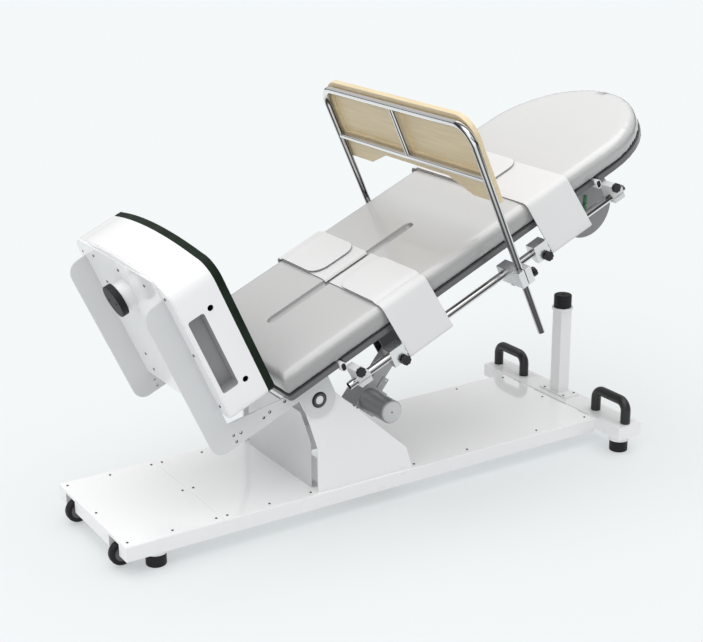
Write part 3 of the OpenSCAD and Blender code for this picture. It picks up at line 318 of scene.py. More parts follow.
@dataclass(frozen=True)
class MarbledFinish(Finish):
    """Moulded rubber with pale flecks and veins on a dark ground."""

    vein: Colour = (0.014, 0.026, 0.016)
    vein_detail: float = 6.0
    span: tuple[float, float] = (0.42, 0.72)

    def paint(self, tree: Tree, vector: Socket) -> Socket:
        """Mixes the ground and the veins in soft patches."""
        patches = noise_node(tree, vector, self.tone_scale, self.vein_detail)
        return ramp_node(tree, patches, tuple(zip(self.span, (self.colour, self.vein))))


@dataclass(frozen=True)
class VinylFinish(Finish):
    """Coated cloth with a fine pebbled grain."""

    pebble_scale: float = 800.0

    def carve(self, tree: Tree, vector: Socket, grain: Socket) -> Socket:
        """Adds the pebbles to the fine grain."""
        cells = add_node(tree, "ShaderNodeTexVoronoi", {"Scale": self.pebble_scale, "Vector": vector})
        return math_node(tree, "ADD", cells.outputs["Distance"], grain)


@dataclass(frozen=True)
class PaintedLightCushionFinish(VinylFinish):
    """Cushion vinyl, paler to the head end as a painted reflection, with painted shade where it turns down and in
    its groove.
    """

    # length, foot_x and head_x: a painted reflection that pales the vinyl from the foot end to the head end.
    length: Line = ((0.0, 0.50), (1.0, 0.71))
    # turned: painted shade where the surface turns down from the bed's up direction.
    turned: Line = ((0.1, 0.66), (0.6, 0.84), (0.93, 1.0))
    up: Point = (-0.4035, 0.0, 0.915)
    foot_x: float = -0.6
    head_x: float = 1.15
    # across, its scale and middle, and sunk: painted shade in the groove, darkest along its near wall, only below
    # the top.
    across: Line = ((0.255, 1.0), (0.267, 0.34), (0.5, 0.58), (0.68, 0.80), (0.745, 1.0))
    groove_shade_scale: float = 10.0
    groove_shade_middle: float = 0.5
    sunk: Line = ((0.8165, 0.0), (0.8192, 1.0))

    def paint(self, tree: Tree, vector: Socket) -> Socket:
        """Paints a reflection along the bed, and shade by the way its surface faces and in its groove, into the
        colour.
        """
        parts = add_node(tree, "ShaderNodeSeparateXYZ", {0: vector}).outputs
        span = self.head_x - self.foot_x
        along = math_node(tree, "ADD", math_node(tree, "MULTIPLY", parts["X"], 1.0 / span), -self.foot_x / span)
        side = math_node(tree, "ADD", math_node(tree, "MULTIPLY", parts["Y"], self.groove_shade_scale),
                         self.groove_shade_middle)
        normal = add_node(tree, "ShaderNodeTexCoord").outputs["Normal"]
        lean_for_painted_shade, level = (vector_node(tree, "DOT_PRODUCT", source, self.up).outputs["Value"]
                       for source in (normal, vector))
        # Painted shade in the groove: darker across its width, but only where the surface lies below the top.
        groove = math_node(tree, "MAXIMUM", ramp_node(tree, side, self.across), ramp_node(tree, level, self.sunk))
        # The painted reflection along the bed, times the painted shade of turned-down faces.
        shade = vector_node(tree, "MULTIPLY", ramp_node(tree, along, self.length),
                            ramp_node(tree, lean_for_painted_shade, self.turned)).outputs[0]
        return vector_node(tree, "MULTIPLY", shade, groove).outputs[0]


@dataclass(frozen=True)
class PaintedReflectionChromeFinish(Finish):
    """Polished chrome with a painted reflection: dark bands between the middle and the rim of a tube, as in a
    bright room.
    """

    painted_reflection_bands: Line = ((0.0, 0.95), (0.08, 0.88), (0.15, 0.10), (0.30, 0.07), (0.40, 0.75), (0.72, 0.92), (1.0, 0.30))

    def paint(self, tree: Tree, vector: Socket) -> Socket:
        """Paints the reflection bands into the colour by the angle of the surface."""
        return ramp_node(tree, add_node(tree, "ShaderNodeLayerWeight").outputs["Facing"], self.painted_reflection_bands)


WHITE_COAT = Finish("white_powder_coat_gloss", "white_powder_coat", (0.89, 0.893, 0.896), roughness=0.28,
                    coat=0.5, coat_roughness=0.08, fine_scale=420.0, relief=0.00003)
# The deck coat glows a little, as painted light that lifts its white.
DECK_COAT = Finish("white_deck_coat_painted_glow", "white_powder_coat", (0.95, 0.952, 0.955), roughness=0.2, coat=1.0,
                   coat_ior=1.8, coat_roughness=0.02, fine_scale=300.0, relief=0.000005, glow=0.07)
# The white coat darkened as painted shade, for parts that stand in shade.
PAINTED_SHADE_COAT = Finish("white_coat_painted_shade", "white_powder_coat", (0.68, 0.685, 0.69), roughness=0.3, coat=0.4,
                     coat_roughness=0.08, fine_scale=420.0, relief=0.00003)
HOUSING_COAT = Finish("housing_coat", "satin_alloy", (0.52, 0.525, 0.53), roughness=0.36, coat=0.2,
                      fine_scale=600.0)
CASING_SHELL = Finish("casing_shell", "white_plastic", (0.91, 0.91, 0.915), roughness=0.25, coat=0.3,
                      fine_scale=600.0, relief=0.00002)
# The casing's white plastic darkened as painted shade, for the walls of its hand recesses.
RECESS_PAINTED_SHADE = Finish("recess_painted_shade", "white_plastic", (0.42, 0.42, 0.425), roughness=0.4, fine_scale=600.0,
                      relief=0.00002)
DIAL_ENAMEL = Finish("dial_enamel", "grey_metal", (0.27, 0.272, 0.275), roughness=0.4, fine_scale=700.0)
MARK_ENAMEL = Finish("mark_enamel", "grey_metal", (0.2, 0.2, 0.205), roughness=0.4, fine_scale=700.0)
MOTOR_ENAMEL = Finish("motor_enamel", "grey_metal", (0.46, 0.465, 0.47), metallic=0.6, roughness=0.3)
MOTOR_LID = Finish("motor_lid", "grey_metal", (0.70, 0.705, 0.71), metallic=0.2, roughness=0.35)
BLACK_METAL = Finish("black_metal", "black_metal", (0.012, 0.012, 0.013), roughness=0.36, relief=0.00008)
# Chrome whose colour carries painted reflection bands.
CHROME = PaintedReflectionChromeFinish("chrome", "chrome_tube", (0.88, 0.885, 0.89), metallic=1.0, roughness=0.05, drift=0.02,
                      tone=0.02, relief=0.000004)
CAST_ALLOY = Finish("cast_alloy", "satin_alloy", (0.78, 0.785, 0.79), metallic=1.0, roughness=0.27,
                    relief=0.00002)
STEEL = Finish("plain_steel", "steel_fastener", (0.42, 0.43, 0.44), metallic=1.0, roughness=0.28)
DARK_STEEL = Finish("dark_steel", "steel_fastener", (0.09, 0.09, 0.095), metallic=0.8, roughness=0.35)
BLACK_RUBBER = Finish("black_rubber", "black_rubber", (0.010, 0.010, 0.011), roughness=0.55, relief=0.0001,
                      specular=0.3)
BLACK_PLASTIC = Finish("black_plastic", "black_plastic", (0.010, 0.010, 0.011), roughness=0.36,
                       relief=0.00006, specular=0.4)
GREY_PLASTIC = Finish("grey_plastic", "black_plastic", (0.12, 0.12, 0.125), roughness=0.4, relief=0.00006)
WHITE_PLASTIC = Finish("white_plastic_cap", "white_plastic", (0.86, 0.86, 0.87), roughness=0.25)
GREEN_PLASTIC = Finish("green_plastic", "green_plastic", (0.01, 0.15, 0.045), roughness=0.3)
BLACK_BOARD = Finish("black_board", "black_board", (0.10, 0.10, 0.103), roughness=0.3, coat=0.6,
                     coat_roughness=0.1)
FOOT_RUBBER = MarbledFinish("foot_rubber", "foot_rubber", (0.005, 0.013, 0.006), roughness=0.5, tone=0.1,
                            tone_scale=16.0, relief=0.0001, specular=0.12)
# The padding's finish paints a reflection towards the head end, and shade on its sides and in its groove.
PADDING = PaintedLightCushionFinish("padding_vinyl_painted_light", "padding", (0.60, 0.60, 0.605), roughness=0.24, coat=0.7,
                        coat_roughness=0.06, relief=0.000006)
STRAP_VINYL = VinylFinish("strap_vinyl", "strap_vinyl", (0.74, 0.74, 0.745), roughness=0.45, relief=0.00002,
                          specular=0.3)
# The strap vinyl darkened as painted shade, for the rims along the strap's edges.
STRAP_EDGE_SHADE = VinylFinish("strap_edge_painted_shade", "strap_vinyl", (0.34, 0.34, 0.345), roughness=0.5, relief=0.00002)
TRAY_WOOD = WoodFinish("tray_veneer", "tray_wood", (0.82, 0.69, 0.46), roughness=0.42, tone=0.05)
BOOK: dict[Finish, tuple[str, ...]] = {
    WHITE_COAT: ("base_frame", "cross_beam", "foot_collars", "support_post", "pedestal_plates",
                 "screw_clevis", "bed_frame", "rail_tubes", "foot_carrier"),
    DECK_COAT: ("foot_deck_plate", "main_deck_plate"),
    PAINTED_SHADE_COAT: ("pedestal_front_panel", "pivot_ears", "foot_arms", "rail_brackets"),
    CASING_SHELL: ("foot_casing",),
    DIAL_ENAMEL: ("angle_dial",),
    MOTOR_ENAMEL: ("actuator_motor",),
    BLACK_METAL: ("lift_handles", "actuator_bracket"),
    CHROME: ("side_rails", "tray_frame", "actuator_screw"),
    CAST_ALLOY: ("near_knee_clamp", "far_knee_clamp", "chest_clamps", "tray_clamps"),
    HOUSING_COAT: ("actuator_housing",),
    STEEL: ("wheel_axles", "actuator_pin"),
    DARK_STEEL: ("pivot_tube",),
    BLACK_RUBBER: ("rubber_feet", "stop_buffer", "post_buffer"),
    BLACK_PLASTIC: ("tube_plugs", "pivot_bushes"),
    WHITE_PLASTIC: ("pivot_caps",),
    GREEN_PLASTIC: ("dial_pointer",),
    BLACK_BOARD: ("mattress_board",),
    FOOT_RUBBER: ("foot_mat",),
    TRAY_WOOD: ("tray_board",),
}
EDGE_WIDTHS: dict[float, tuple[str, ...]] = {
    0.4: ("pivot_tube", "pivot_caps", "dial_pointer", "angle_dial", "wheel_axles", "actuator_pin",
          "actuator_screw", "tube_plugs", "pivot_bushes"),
    0.8: ("side_rails", "pedestal_front_panel", "tray_frame", "screw_clevis", "mattress_board",
          "actuator_bracket", "rail_tubes", "foot_carrier"),
    1.4: ("foot_deck_plate", "main_deck_plate"),
    1.2: ("base_frame", "foot_arms", "pedestal_plates", "rail_brackets", "actuator_housing", "pivot_ears",
          "near_knee_clamp", "far_knee_clamp", "chest_clamps", "tray_clamps", "tray_board", "foot_collars"),
    2.0: ("cross_beam", "support_post", "bed_frame", "lift_handles", "foot_casing", "actuator_motor",
          "rubber_feet", "stop_buffer", "post_buffer", "foot_mat"),
}


@dataclass
class NodeDresser:
    """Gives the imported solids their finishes, and eases their sharp edges by modifiers alone."""

    edge_segments: int = 2
    flat_angle: float = math.radians(0.6)
    edge_angle: float = math.radians(40)
    knob_edge: float = 1.0
    # The box, in the bed's millimetres and for either side, whose faces get the painted recess shade.
    recess_low: Point = (-330.0, 336.0, 301.0)
    recess_high: Point = (-264.0, 394.6, 599.0)

    def build(self, bed: Place) -> None:
        """Dresses every solid that stays in sight.

        Args:
            bed: The place of the bed, in which the casing's hand recesses are found.
        """
        self.shading = self.shading_group()
        for finish, nodes in BOOK.items():
            for node in nodes:
                self.dress(node, finish)
        for width, nodes in EDGE_WIDTHS.items():
            for node in nodes:
                self.ease(node, width)
        for node in frame["nodes"]:
            if node.endswith("_knob"):
                self.dress(node, BLACK_PLASTIC)
                self.ease(node, self.knob_edge)
        self.shade_recesses(frame["nodes"]["foot_casing"].data, bed.matrix.inverted())
        log.info("dressed %d solids", len(frame["nodes"]))

    def shade_recesses(self, mesh: bpy.types.Mesh, inward: Matrix) -> None:
        """Paints shade on the walls of the casing's hand recesses, with a darker copy of its plastic.

        Args:
            mesh: The casing's mesh.
            inward: The matrix from metres to the bed's millimetres.
        """
        mesh.materials.append(RECESS_PAINTED_SHADE.material())
        for face in mesh.polygons:
            spot = inward @ face.center
            spot.y = abs(spot.y)
            if all(low < value < high for low, value, high in zip(self.recess_low, spot, self.recess_high)):
                face.material_index = 1

    def dress(self, node: str, finish: Finish) -> None:
        """Puts one finish on a solid."""
        piece = frame["nodes"][node]
        piece.data.materials.clear()
        piece.data.materials.append(finish.material())

    def shading_group(self) -> Tree:
        """Builds the geometry group that joins loose triangles and shades them by angle.

        Returns:
            The group.
        """
        tree = new_group("joined_shading", "GeometryNodeTree", {"Geometry": "Geometry"}, {"Geometry": "Geometry"})
        tree.is_modifier = True
        angle = add_node(tree, "GeometryNodeInputMeshEdgeAngle").outputs[0]
        narrow = add_node(tree, "FunctionNodeCompare", {"A": angle, "B": SMOOTH_ANGLE}, operation="LESS_THAN")
        made = tree.nodes["in"].outputs[0]
        for kind, values, options in (
                ("GeometryNodeMergeByDistance", {"Distance": NEAREST}, {}),
                ("GeometryNodeRemoveAttribute", {"Name": "custom_normal"}, {}),
                ("GeometryNodeSetShadeSmooth", {}, {}),
                ("GeometryNodeSetShadeSmooth", {"Shade Smooth": narrow.outputs[0]}, {"domain": "EDGE"})):
            made = add_node(tree, kind, {"Geometry": made, **values}, **options).outputs[0]
        fill(tree, tree.nodes["out"], {0: made})
        return tree

    def ease(self, node: str, width: float) -> None:
        """Adds the modifiers that round a solid's sharp edges.

        Args:
            node: The solid's name.
            width: The rounding in millimetres.
        """
        piece = frame["nodes"][node]
        joined = piece.modifiers.new("joined", "NODES")
        joined.node_group = self.shading
        flat = piece.modifiers.new("flat", "DECIMATE")
        flat.decimate_type = "DISSOLVE"
        flat.angle_limit = self.flat_angle
        edge = piece.modifiers.new("edge", "BEVEL")
        edge.width = width * MM
        edge.segments = self.edge_segments
        edge.limit_method = "ANGLE"
        edge.angle_limit = self.edge_angle
        edge.harden_normals = True
        edge.use_clamp_overlap = True


def block(bm: BMesh, low: Point, high: Point) -> None:
    """Adds a box.

    Args:
        bm: The mesh that it joins.
        low: Its lowest corner.
        high: Its highest corner.
    """
    made = bmesh.ops.create_cube(bm, size=1.0)["verts"]
    bmesh.ops.scale(bm, vec=[h - l for l, h in zip(low, high)], verts=made)
    bmesh.ops.translate(bm, vec=[(h + l) / 2 for l, h in zip(low, high)], verts=made)


def lathe(bm: BMesh, outline: Sequence[Point], place: Matrix, steps: int = 48) -> None:
    """Spins an outline of radius and height round the Z axis of a place.

    Args:
        bm: The mesh that it joins.
        outline: Pairs of radius and height.
        place: Where the turned piece stands.
        steps: The number of steps round.
    """
    verts = [bm.verts.new((r, 0.0, z)) for r, z in outline]
    edges = [bm.edges.new(pair) for pair in zip(verts, verts[1:])]
    bmesh.ops.spin(bm, geom=verts + edges, cent=(0, 0, 0), axis=(0, 0, 1), dvec=(0, 0, 0),
                   angle=math.tau, steps=steps, use_merge=True, use_duplicate=False)
    made = list(island_of(verts[len(verts) // 2]))
    bmesh.ops.transform(bm, matrix=place, verts=made)


def island_of(seed: bmesh.types.BMVert) -> set[bmesh.types.BMVert]:
    """Collects the vertices that hang together with one of them."""
    found, edge = {seed}, [seed]
    while edge:
        for link in edge.pop().link_edges:
            for vert in link.verts:
                if vert not in found:
                    found.add(vert)
                    edge.append(vert)
    return found


def facing(origin: Point, direction: Point) -> Matrix:
    """Gives the matrix of the place at an origin whose Z axis points in a direction."""
    return Matrix.Translation(origin) @ Vector(direction).to_track_quat("Z", "Y").to_matrix().to_4x4()


def joined_copy(node: str) -> BMesh:
    """Copies a solid's loose triangles into one joined mesh, in metres."""
    bm = bmesh.new()
    bm.from_mesh(frame["nodes"][node].data)
    bmesh.ops.remove_doubles(bm, verts=bm.verts, dist=NEAREST)
    return bm


def islands(node: str, place: Place) -> list[tuple[Vector, Vector]]:
    """Finds the box of each separate solid in a node.

    Args:
        node: The node's name.
        place: The place in whose millimetres the boxes are given.

    Returns:
        The lowest and highest corners.
    """
    bm = joined_copy(node)
    bmesh.ops.transform(bm, matrix=place.matrix.inverted(), verts=bm.verts)
    left, boxes = set(bm.verts), []
    while left:
        group = island_of(next(iter(left)))
        left -= group
        points = [vert.co for vert in group]
        boxes.append((Vector(min(p[i] for p in points) for i in range(3)),
                      Vector(max(p[i] for p in points) for i in range(3))))
    bm.free()
    return sorted(boxes, key=lambda pair: tuple(round(v, 1) for v in pair[0]))


def put(name: str, data: bpy.types.ID) -> Piece:
    """Puts a new object with its data in the scene."""
    piece = bpy.data.objects.new(name, data)
    bpy.context.scene.collection.objects.link(piece)
    return piece


def settle(bm: BMesh, name: str, finish: Finish, body: str, place: Matrix = Matrix.Identity(4),
           replaced: Iterable[str] = ()) -> Piece:
    """Turns a bmesh into a finished piece at the origin that rides on a body.

    Args:
        bm: The mesh, which is freed.
        name: The piece's name.
        finish: Its finish.
        body: The body that it rides on.
        place: The matrix from the mesh's units to metres.
        replaced: The solids that it stands for.

    Returns:
        The piece.
    """
    bmesh.ops.remove_doubles(bm, verts=bm.verts, dist=MERGE / place.to_scale().x)
    bmesh.ops.transform(bm, matrix=place, verts=bm.verts)
    bmesh.ops.recalc_face_normals(bm, faces=bm.faces)
    mesh = bpy.data.meshes.new(name)
    bm.to_mesh(mesh)
    bm.free()
    mesh.shade_smooth()
    mesh.set_sharp_from_angle(angle=SMOOTH_ANGLE)
    mesh.materials.append(finish.material())
    piece = put(name, mesh)
    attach(piece, body)
    if replaced:
        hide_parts(*replaced)
    log.info("%s: %d faces on %s", name, len(mesh.polygons), body)
    return piece


@dataclass
class Studio:
    """Camera, floor, sky and lamps."""

    camera_place: Point = (-2.84887, -4.4275, 2.414)
    yaw: float = 32.03
    pitch: float = 18.76
    roll: float = -0.456
    focal_px: float = 1451.3
    photo_width_px: float = 703.0
    sensor_mm: float = 36.0
    sight: float = 200.0
    floor_size: float = 90.0
    floor_colour: Colour = (0.389, 0.404, 0.408)
    floor_glow: float = 1.06
    sky_bands: Line = ((0.5, 0.06), (0.55, 0.10), (0.6, 0.95), (1.0, 1.05))
    sky_strength: float = 0.62
    suns: tuple[tuple[str, Point, float, float], ...] = (
        ("key_sun", (-0.12, -0.06, 1.0), 1.9, 80.0),
        ("fill_sun", (-0.75, -0.55, 0.42), 0.45, 50.0),
    )

    def build(self) -> None:
        """Makes the camera first, then the floor, the sky and the lamps."""
        self.add_camera()
        self.add_floor()
        self.add_sky()
        self.add_lamps()
        bpy.context.scene.view_settings.view_transform = "Standard"

    def add_camera(self) -> None:
        """Sets the camera to the photograph's place, direction and lens."""
        yaw, pitch, roll = (math.radians(v) for v in (self.yaw, self.pitch, self.roll))
        ahead = Vector((math.sin(yaw) * math.cos(pitch), math.cos(yaw) * math.cos(pitch), -math.sin(pitch)))
        right = Vector((math.cos(yaw), -math.sin(yaw), 0.0))
        up = right.cross(ahead)
        side = math.cos(roll) * right + math.sin(roll) * up
        top = -math.sin(roll) * right + math.cos(roll) * up
        data = bpy.data.cameras.new("camera")
        data.sensor_width = self.sensor_mm
        data.lens = self.sensor_mm * self.focal_px / self.photo_width_px
        data.clip_end = self.sight
        camera = put("camera", data)
        turn = Matrix((side, top, -ahead)).transposed().to_4x4()
        camera.matrix_world = Matrix.Translation(self.camera_place) @ turn
        bpy.context.scene.camera = camera

    def add_floor(self) -> None:
        """Lays the pale floor."""
        bm = bmesh.new()
        bmesh.ops.create_grid(bm, x_segments=1, y_segments=1, size=self.floor_size / 2)
        mesh = bpy.data.meshes.new("floor")
        bm.to_mesh(mesh)
        bm.free()
        floor = put("floor", mesh)
        mesh.materials.append(
            Finish("floor_paint", "", self.floor_colour, roughness=0.9, drift=0.0, tone=0.0, relief=0.0,
                   specular=0.0, glow=self.floor_glow).material())

    def add_sky(self) -> None:
        """Fills the surroundings with soft light and a dark band at the horizon."""
        world = bpy.data.worlds.new("sky")
        bpy.context.scene.world = world
        world.use_nodes = True
        tree = world.node_tree
        direction = add_node(tree, "ShaderNodeTexCoord").outputs["Generated"]
        rise = add_node(tree, "ShaderNodeSeparateXYZ", {0: direction}).outputs["Z"]
        level = math_node(tree, "ADD", math_node(tree, "MULTIPLY", rise, 0.5), 0.5)
        fill(tree, tree.nodes["Background"],
             {"Strength": self.sky_strength, "Color": ramp_node(tree, level, self.sky_bands)})

    def add_lamps(self) -> None:
        """Hangs the wide, soft suns."""
        for name, source, strength, spread in self.suns:
            data = bpy.data.lights.new(name, "SUN")
            data.energy = strength
            data.angle = math.radians(spread)
            put(name, data).matrix_world = (-Vector(source)).to_track_quat("-Z", "Y").to_matrix().to_4x4()


@dataclass
class Groove:
    """The round-bottomed groove along the middle of the mattress, pressed sharp into its soft skin."""

    bed: Place
    foot_a: float = 78.0
    head_a: float = 727.0
    radius: float = 23.5
    lift: float = 3.0
    reach: float = 42.0
    merge: float = 6.0
    low_m: float = 170.0
    cuts: int = 3

    def away(self, spot: Vector) -> float:
        """Gives the distance in plan from the groove's middle line."""
        return math.hypot(spot.x - min(max(spot.x, self.foot_a), self.head_a), spot.y)

    def press(self, piece: Piece) -> None:
        """Refines the skin round the groove and presses the groove in.

        Args:
            piece: The soft piece.
        """
        bm = bmesh.new()
        bm.from_mesh(piece.data)
        bmesh.ops.transform(bm, matrix=self.bed.matrix.inverted(), verts=bm.verts)
        near = {vert for vert in bm.verts if vert.co.z > self.low_m and self.away(vert.co) < self.reach}
        level = max(vert.co.z for vert in near)
        bmesh.ops.subdivide_edges(bm, edges=[e for e in bm.edges if all(v in near for v in e.verts)],
                                  cuts=self.cuts, use_grid_fill=True)
        for vert in bm.verts:
            away = self.away(vert.co)
            if vert.co.z > self.low_m and away < self.reach:
                depth = math.sqrt(max(0.0, self.radius ** 2 - away ** 2)) - self.lift
                share = min(1.0, (self.reach - away) / self.merge)
                vert.co.z += (level - max(0.0, depth) - vert.co.z) * share
        bmesh.ops.transform(bm, matrix=self.bed.matrix, verts=bm.verts)
        bm.to_mesh(piece.data)
        bm.free()
        piece.data.shade_smooth()


@dataclass
class SoftForm:
    """A padded solid remade as one soft skin: remeshed, relaxed and blown up a little."""

    node: str
    body: str
    finish: Finish
    groove: Groove
    voxel: float = 9.0
    relax: int = 3
    smooth: float = 0.5
    shrink: float = 2.5
    pressure: float = 4.0
    cap: float = 3.0
    frames: int = 12
    fill: float = 0.9

    def build(self) -> Piece:
        """Makes the soft piece from the solid's own form.

        Returns:
            The finished piece.
        """
        bm = joined_copy(self.node)
        bmesh.ops.recalc_face_normals(bm, faces=bm.faces)
        piece = settle(bm, f"{self.node}_skin", self.finish, self.body, replaced=(self.node,))
        self.remesh(piece)
        start = self.relaxed(piece)
        self.inflate(piece, start)
        self.groove.press(piece)
        return piece

    def remesh(self, piece: Piece) -> None:
        """Swaps the piece's mesh for an even skin of voxels.

        Args:
            piece: The piece whose mesh is swapped.
        """
        even = piece.modifiers.new("even", "REMESH")
        even.mode = "VOXEL"
        even.voxel_size = self.voxel * MM
        even.use_smooth_shade = True
        depsgraph = bpy.context.evaluated_depsgraph_get()
        mesh = bpy.data.meshes.new_from_object(piece.evaluated_get(depsgraph))
        piece.modifiers.clear()
        mesh.materials.clear()
        mesh.materials.append(self.finish.material())
        mesh.name = piece.name
        piece.data = mesh

    def relaxed(self, piece: Piece) -> list[Vector]:
        """Smooths the voxel steps away and draws the skin in.

        Args:
            piece: The piece.

        Returns:
            The places of its vertices.
        """
        bm = bmesh.new()
        bm.from_mesh(piece.data)
        for _ in range(self.relax):
            bmesh.ops.smooth_vert(bm, verts=bm.verts, factor=self.smooth, use_axis_x=True, use_axis_y=True,
                                  use_axis_z=True)
        bm.normal_update()
        for vert in bm.verts:
            vert.co -= vert.normal * self.shrink * MM
        bm.to_mesh(piece.data)
        bm.free()
        piece.data.shade_smooth()
        return [vert.co.copy() for vert in piece.data.vertices]

    def inflate(self, piece: Piece, start: list[Vector]) -> None:
        """Blows the skin up as cloth, and keeps the move under the cap.

        Args:
            piece: The piece.
            start: Where its vertices are before the simulation.
        """
        cloth = piece.modifiers.new("cloth", "CLOTH")
        cloth.settings.use_pressure = True
        cloth.settings.uniform_pressure_force = self.pressure
        cloth.settings.effector_weights.gravity = 0.0
        cloth.point_cache.frame_start = 1
        cloth.point_cache.frame_end = self.frames
        scene = bpy.context.scene
        for step in range(1, self.frames + 1):
            scene.frame_set(step)
        depsgraph = bpy.context.evaluated_depsgraph_get()
        blown = [vert.co.copy() for vert in piece.evaluated_get(depsgraph).data.vertices]
        piece.modifiers.clear()
        scene.frame_set(1)
        limit = self.cap * MM
        for vert, old, new in zip(piece.data.vertices, start, blown):
            move = new - old
            if move.length > limit:
                move = move.normalized() * limit
            vert.co = old + move
        piece.data.update()
        log.info("%s blown up over %d frames", piece.name, self.frames)


@dataclass
class SmallHardware:
    """The socket screws of the deck and the foot unit, black rings of painted shade in the arms' holes, and the
    wheels.
    """

    base: Place
    bed: Place
    socket_share: float = 0.46
    head_taper: float = 0.82
    socket_depth_share: float = 0.6
    socket_reach: float = 3.0
    head_sides: int = 12
    even: float = 0.5
    tyre_r: float = 46.0
    tyre_w: float = 30.0
    tyre_round: float = 7.0
    tyre_lip: float = 1.0
    hub_r: float = 29.0
    hub_in: float = 3.0
    hub_rim: float = 3.0
    hub_step: float = 1.6
    hub_boss: tuple[float, float] = (14.0, 15.5)
    hub_bore: float = 8.3
    arm_y: float = 324.0
    arm_t: float = 6.0
    arm_holes: tuple[Point, ...] = (
        (-93.0, 88.0, 5.2), (-219.0, 88.0, 5.2), (-344.0, 101.0, 5.2), (-344.0, 73.0, 5.2),
        (-125.0, 93.0, 6.2), (-191.0, 93.0, 6.2), (-316.0, 93.0, 6.2))
    # Wall, inset and steps of the black rings that paint shade in the arms' holes.
    shade_ring_wall: float = 1.2
    shade_ring_inset: float = 0.2
    shade_ring_steps: int = 24

    def build(self) -> None:
        """Makes the small hardware."""
        self.add_hole_shade_rings()
        self.add_screws("deck_screws", "base", self.base)
        self.add_screws("foot_screws", "bed", self.bed)
        for side in Side:
            self.add_wheel(side)

    def add_hole_shade_rings(self) -> None:
        """Puts thin black rings inside the holes of the foot unit's arms as painted shade, which leave them open.
        """
        bm = bmesh.new()
        inner = self.shade_ring_inset
        for side in Side:
            for a, m, radius in self.arm_holes:
                outer = radius - inner
                ring = [(outer - self.shade_ring_wall, -inner), (outer, -inner), (outer, inner - self.arm_t),
                        (outer - self.shade_ring_wall, inner - self.arm_t), (outer - self.shade_ring_wall, -inner)]
                lathe(bm, ring, facing((a, side.value * self.arm_y, m), (0, side.value, 0)), self.shade_ring_steps)
        settle(bm, "hole_shade_rings", BLACK_PLASTIC, "bed", self.bed.matrix)

    def add_screws(self, node: str, body: str, place: Place) -> None:
        """Remakes a node's screws with tapered heads and hexagon sockets.

        Args:
            node: The node of screws.
            body: The body that they ride on.
            place: The place whose axes they line up with.
        """
        bm = bmesh.new()
        for low, high in islands(node, place):
            size = high - low
            flat = sorted(size)
            widest = [i for i in range(3) if abs(size[i] - flat[2]) < self.even]
            axis = next(i for i in range(3) if i not in widest[:2] or len(widest) < 2)
            way = Vector((0, 0, 0))
            outward = 1.0 if axis == 2 else (-1.0 if axis == 0 else math.copysign(1.0, low.y + high.y))
            way[axis] = outward
            centre = (low + high) / 2
            top, bottom = centre + way * size[axis] / 2, centre - way * size[axis] / 2
            self.add_screw(bm, bottom, top, flat[2] / 2)
        settle(bm, f"{node}_sockets", DARK_STEEL, body, place.matrix, replaced=(node,))

    def add_screw(self, bm: BMesh, bottom: Vector, top: Vector, radius: float) -> None:
        """Adds one screw.

        Args:
            bm: The mesh that it joins.
            bottom: The middle of its underside.
            top: The middle of its face.
            radius: The radius of its head.
        """
        height = (top - bottom).length
        place = facing(bottom, top - bottom)
        made = bmesh.ops.create_cone(bm, cap_ends=True, segments=self.head_sides, radius1=radius,
                                     radius2=radius * self.head_taper, depth=height,
                                     matrix=place @ Matrix.Translation((0, 0, height / 2)))["verts"]
        face = max((f for v in made for f in v.link_faces if len(f.verts) == self.head_sides),
                   key=lambda f: (f.calc_center_median() - bottom).dot(top - bottom))
        bmesh.ops.inset_region(bm, faces=[face], thickness=radius * (1 - self.socket_share) * self.head_taper,
                               use_even_offset=True)
        sunk = bmesh.ops.extrude_discrete_faces(bm, faces=[face])["faces"]
        depth = self.socket_depth_share * min(1.0, self.socket_reach / height)
        bmesh.ops.translate(bm, vec=(bottom - top) * depth, verts=[v for f in sunk for v in f.verts])

    def add_wheel(self, side: Side) -> None:
        """Makes a wheel: a rounded tyre and a dished hub."""
        name = f"{side.name.lower()}_wheel"
        low, high = islands(name, self.base)[0]
        centre = (low + high) / 2
        half, r, soft = self.tyre_w / 2, self.tyre_r, self.tyre_round
        place = facing(centre, (0, 1, 0))
        tyre, hub = bmesh.new(), bmesh.new()
        corner = [(r - soft + soft * math.sin(t), half - soft + soft * math.cos(t))
                  for t in (0, math.pi / 6, math.pi / 3, math.pi / 2)]
        lip = half - self.tyre_lip
        outline = [(self.hub_r, lip)] + corner + [(x, -z) for x, z in reversed(corner)]
        lathe(tyre, outline + [(self.hub_r, -lip), (self.hub_r, lip)], place)
        settle(tyre, f"{name}_tyre", BLACK_RUBBER, name, self.base.matrix, replaced=(name,))
        dish, boss = half - self.hub_in, self.hub_boss
        front = [(self.hub_bore, lip), (boss[0], lip), (boss[1], dish), (self.hub_r - self.hub_rim, dish),
                 (self.hub_r, half - self.hub_step)]
        lathe(hub, front + [(x, -z) for x, z in reversed(front)] + front[:1], place)
        settle(hub, f"{name}_hub", GREY_PLASTIC, name, self.base.matrix, replaced=(name,))


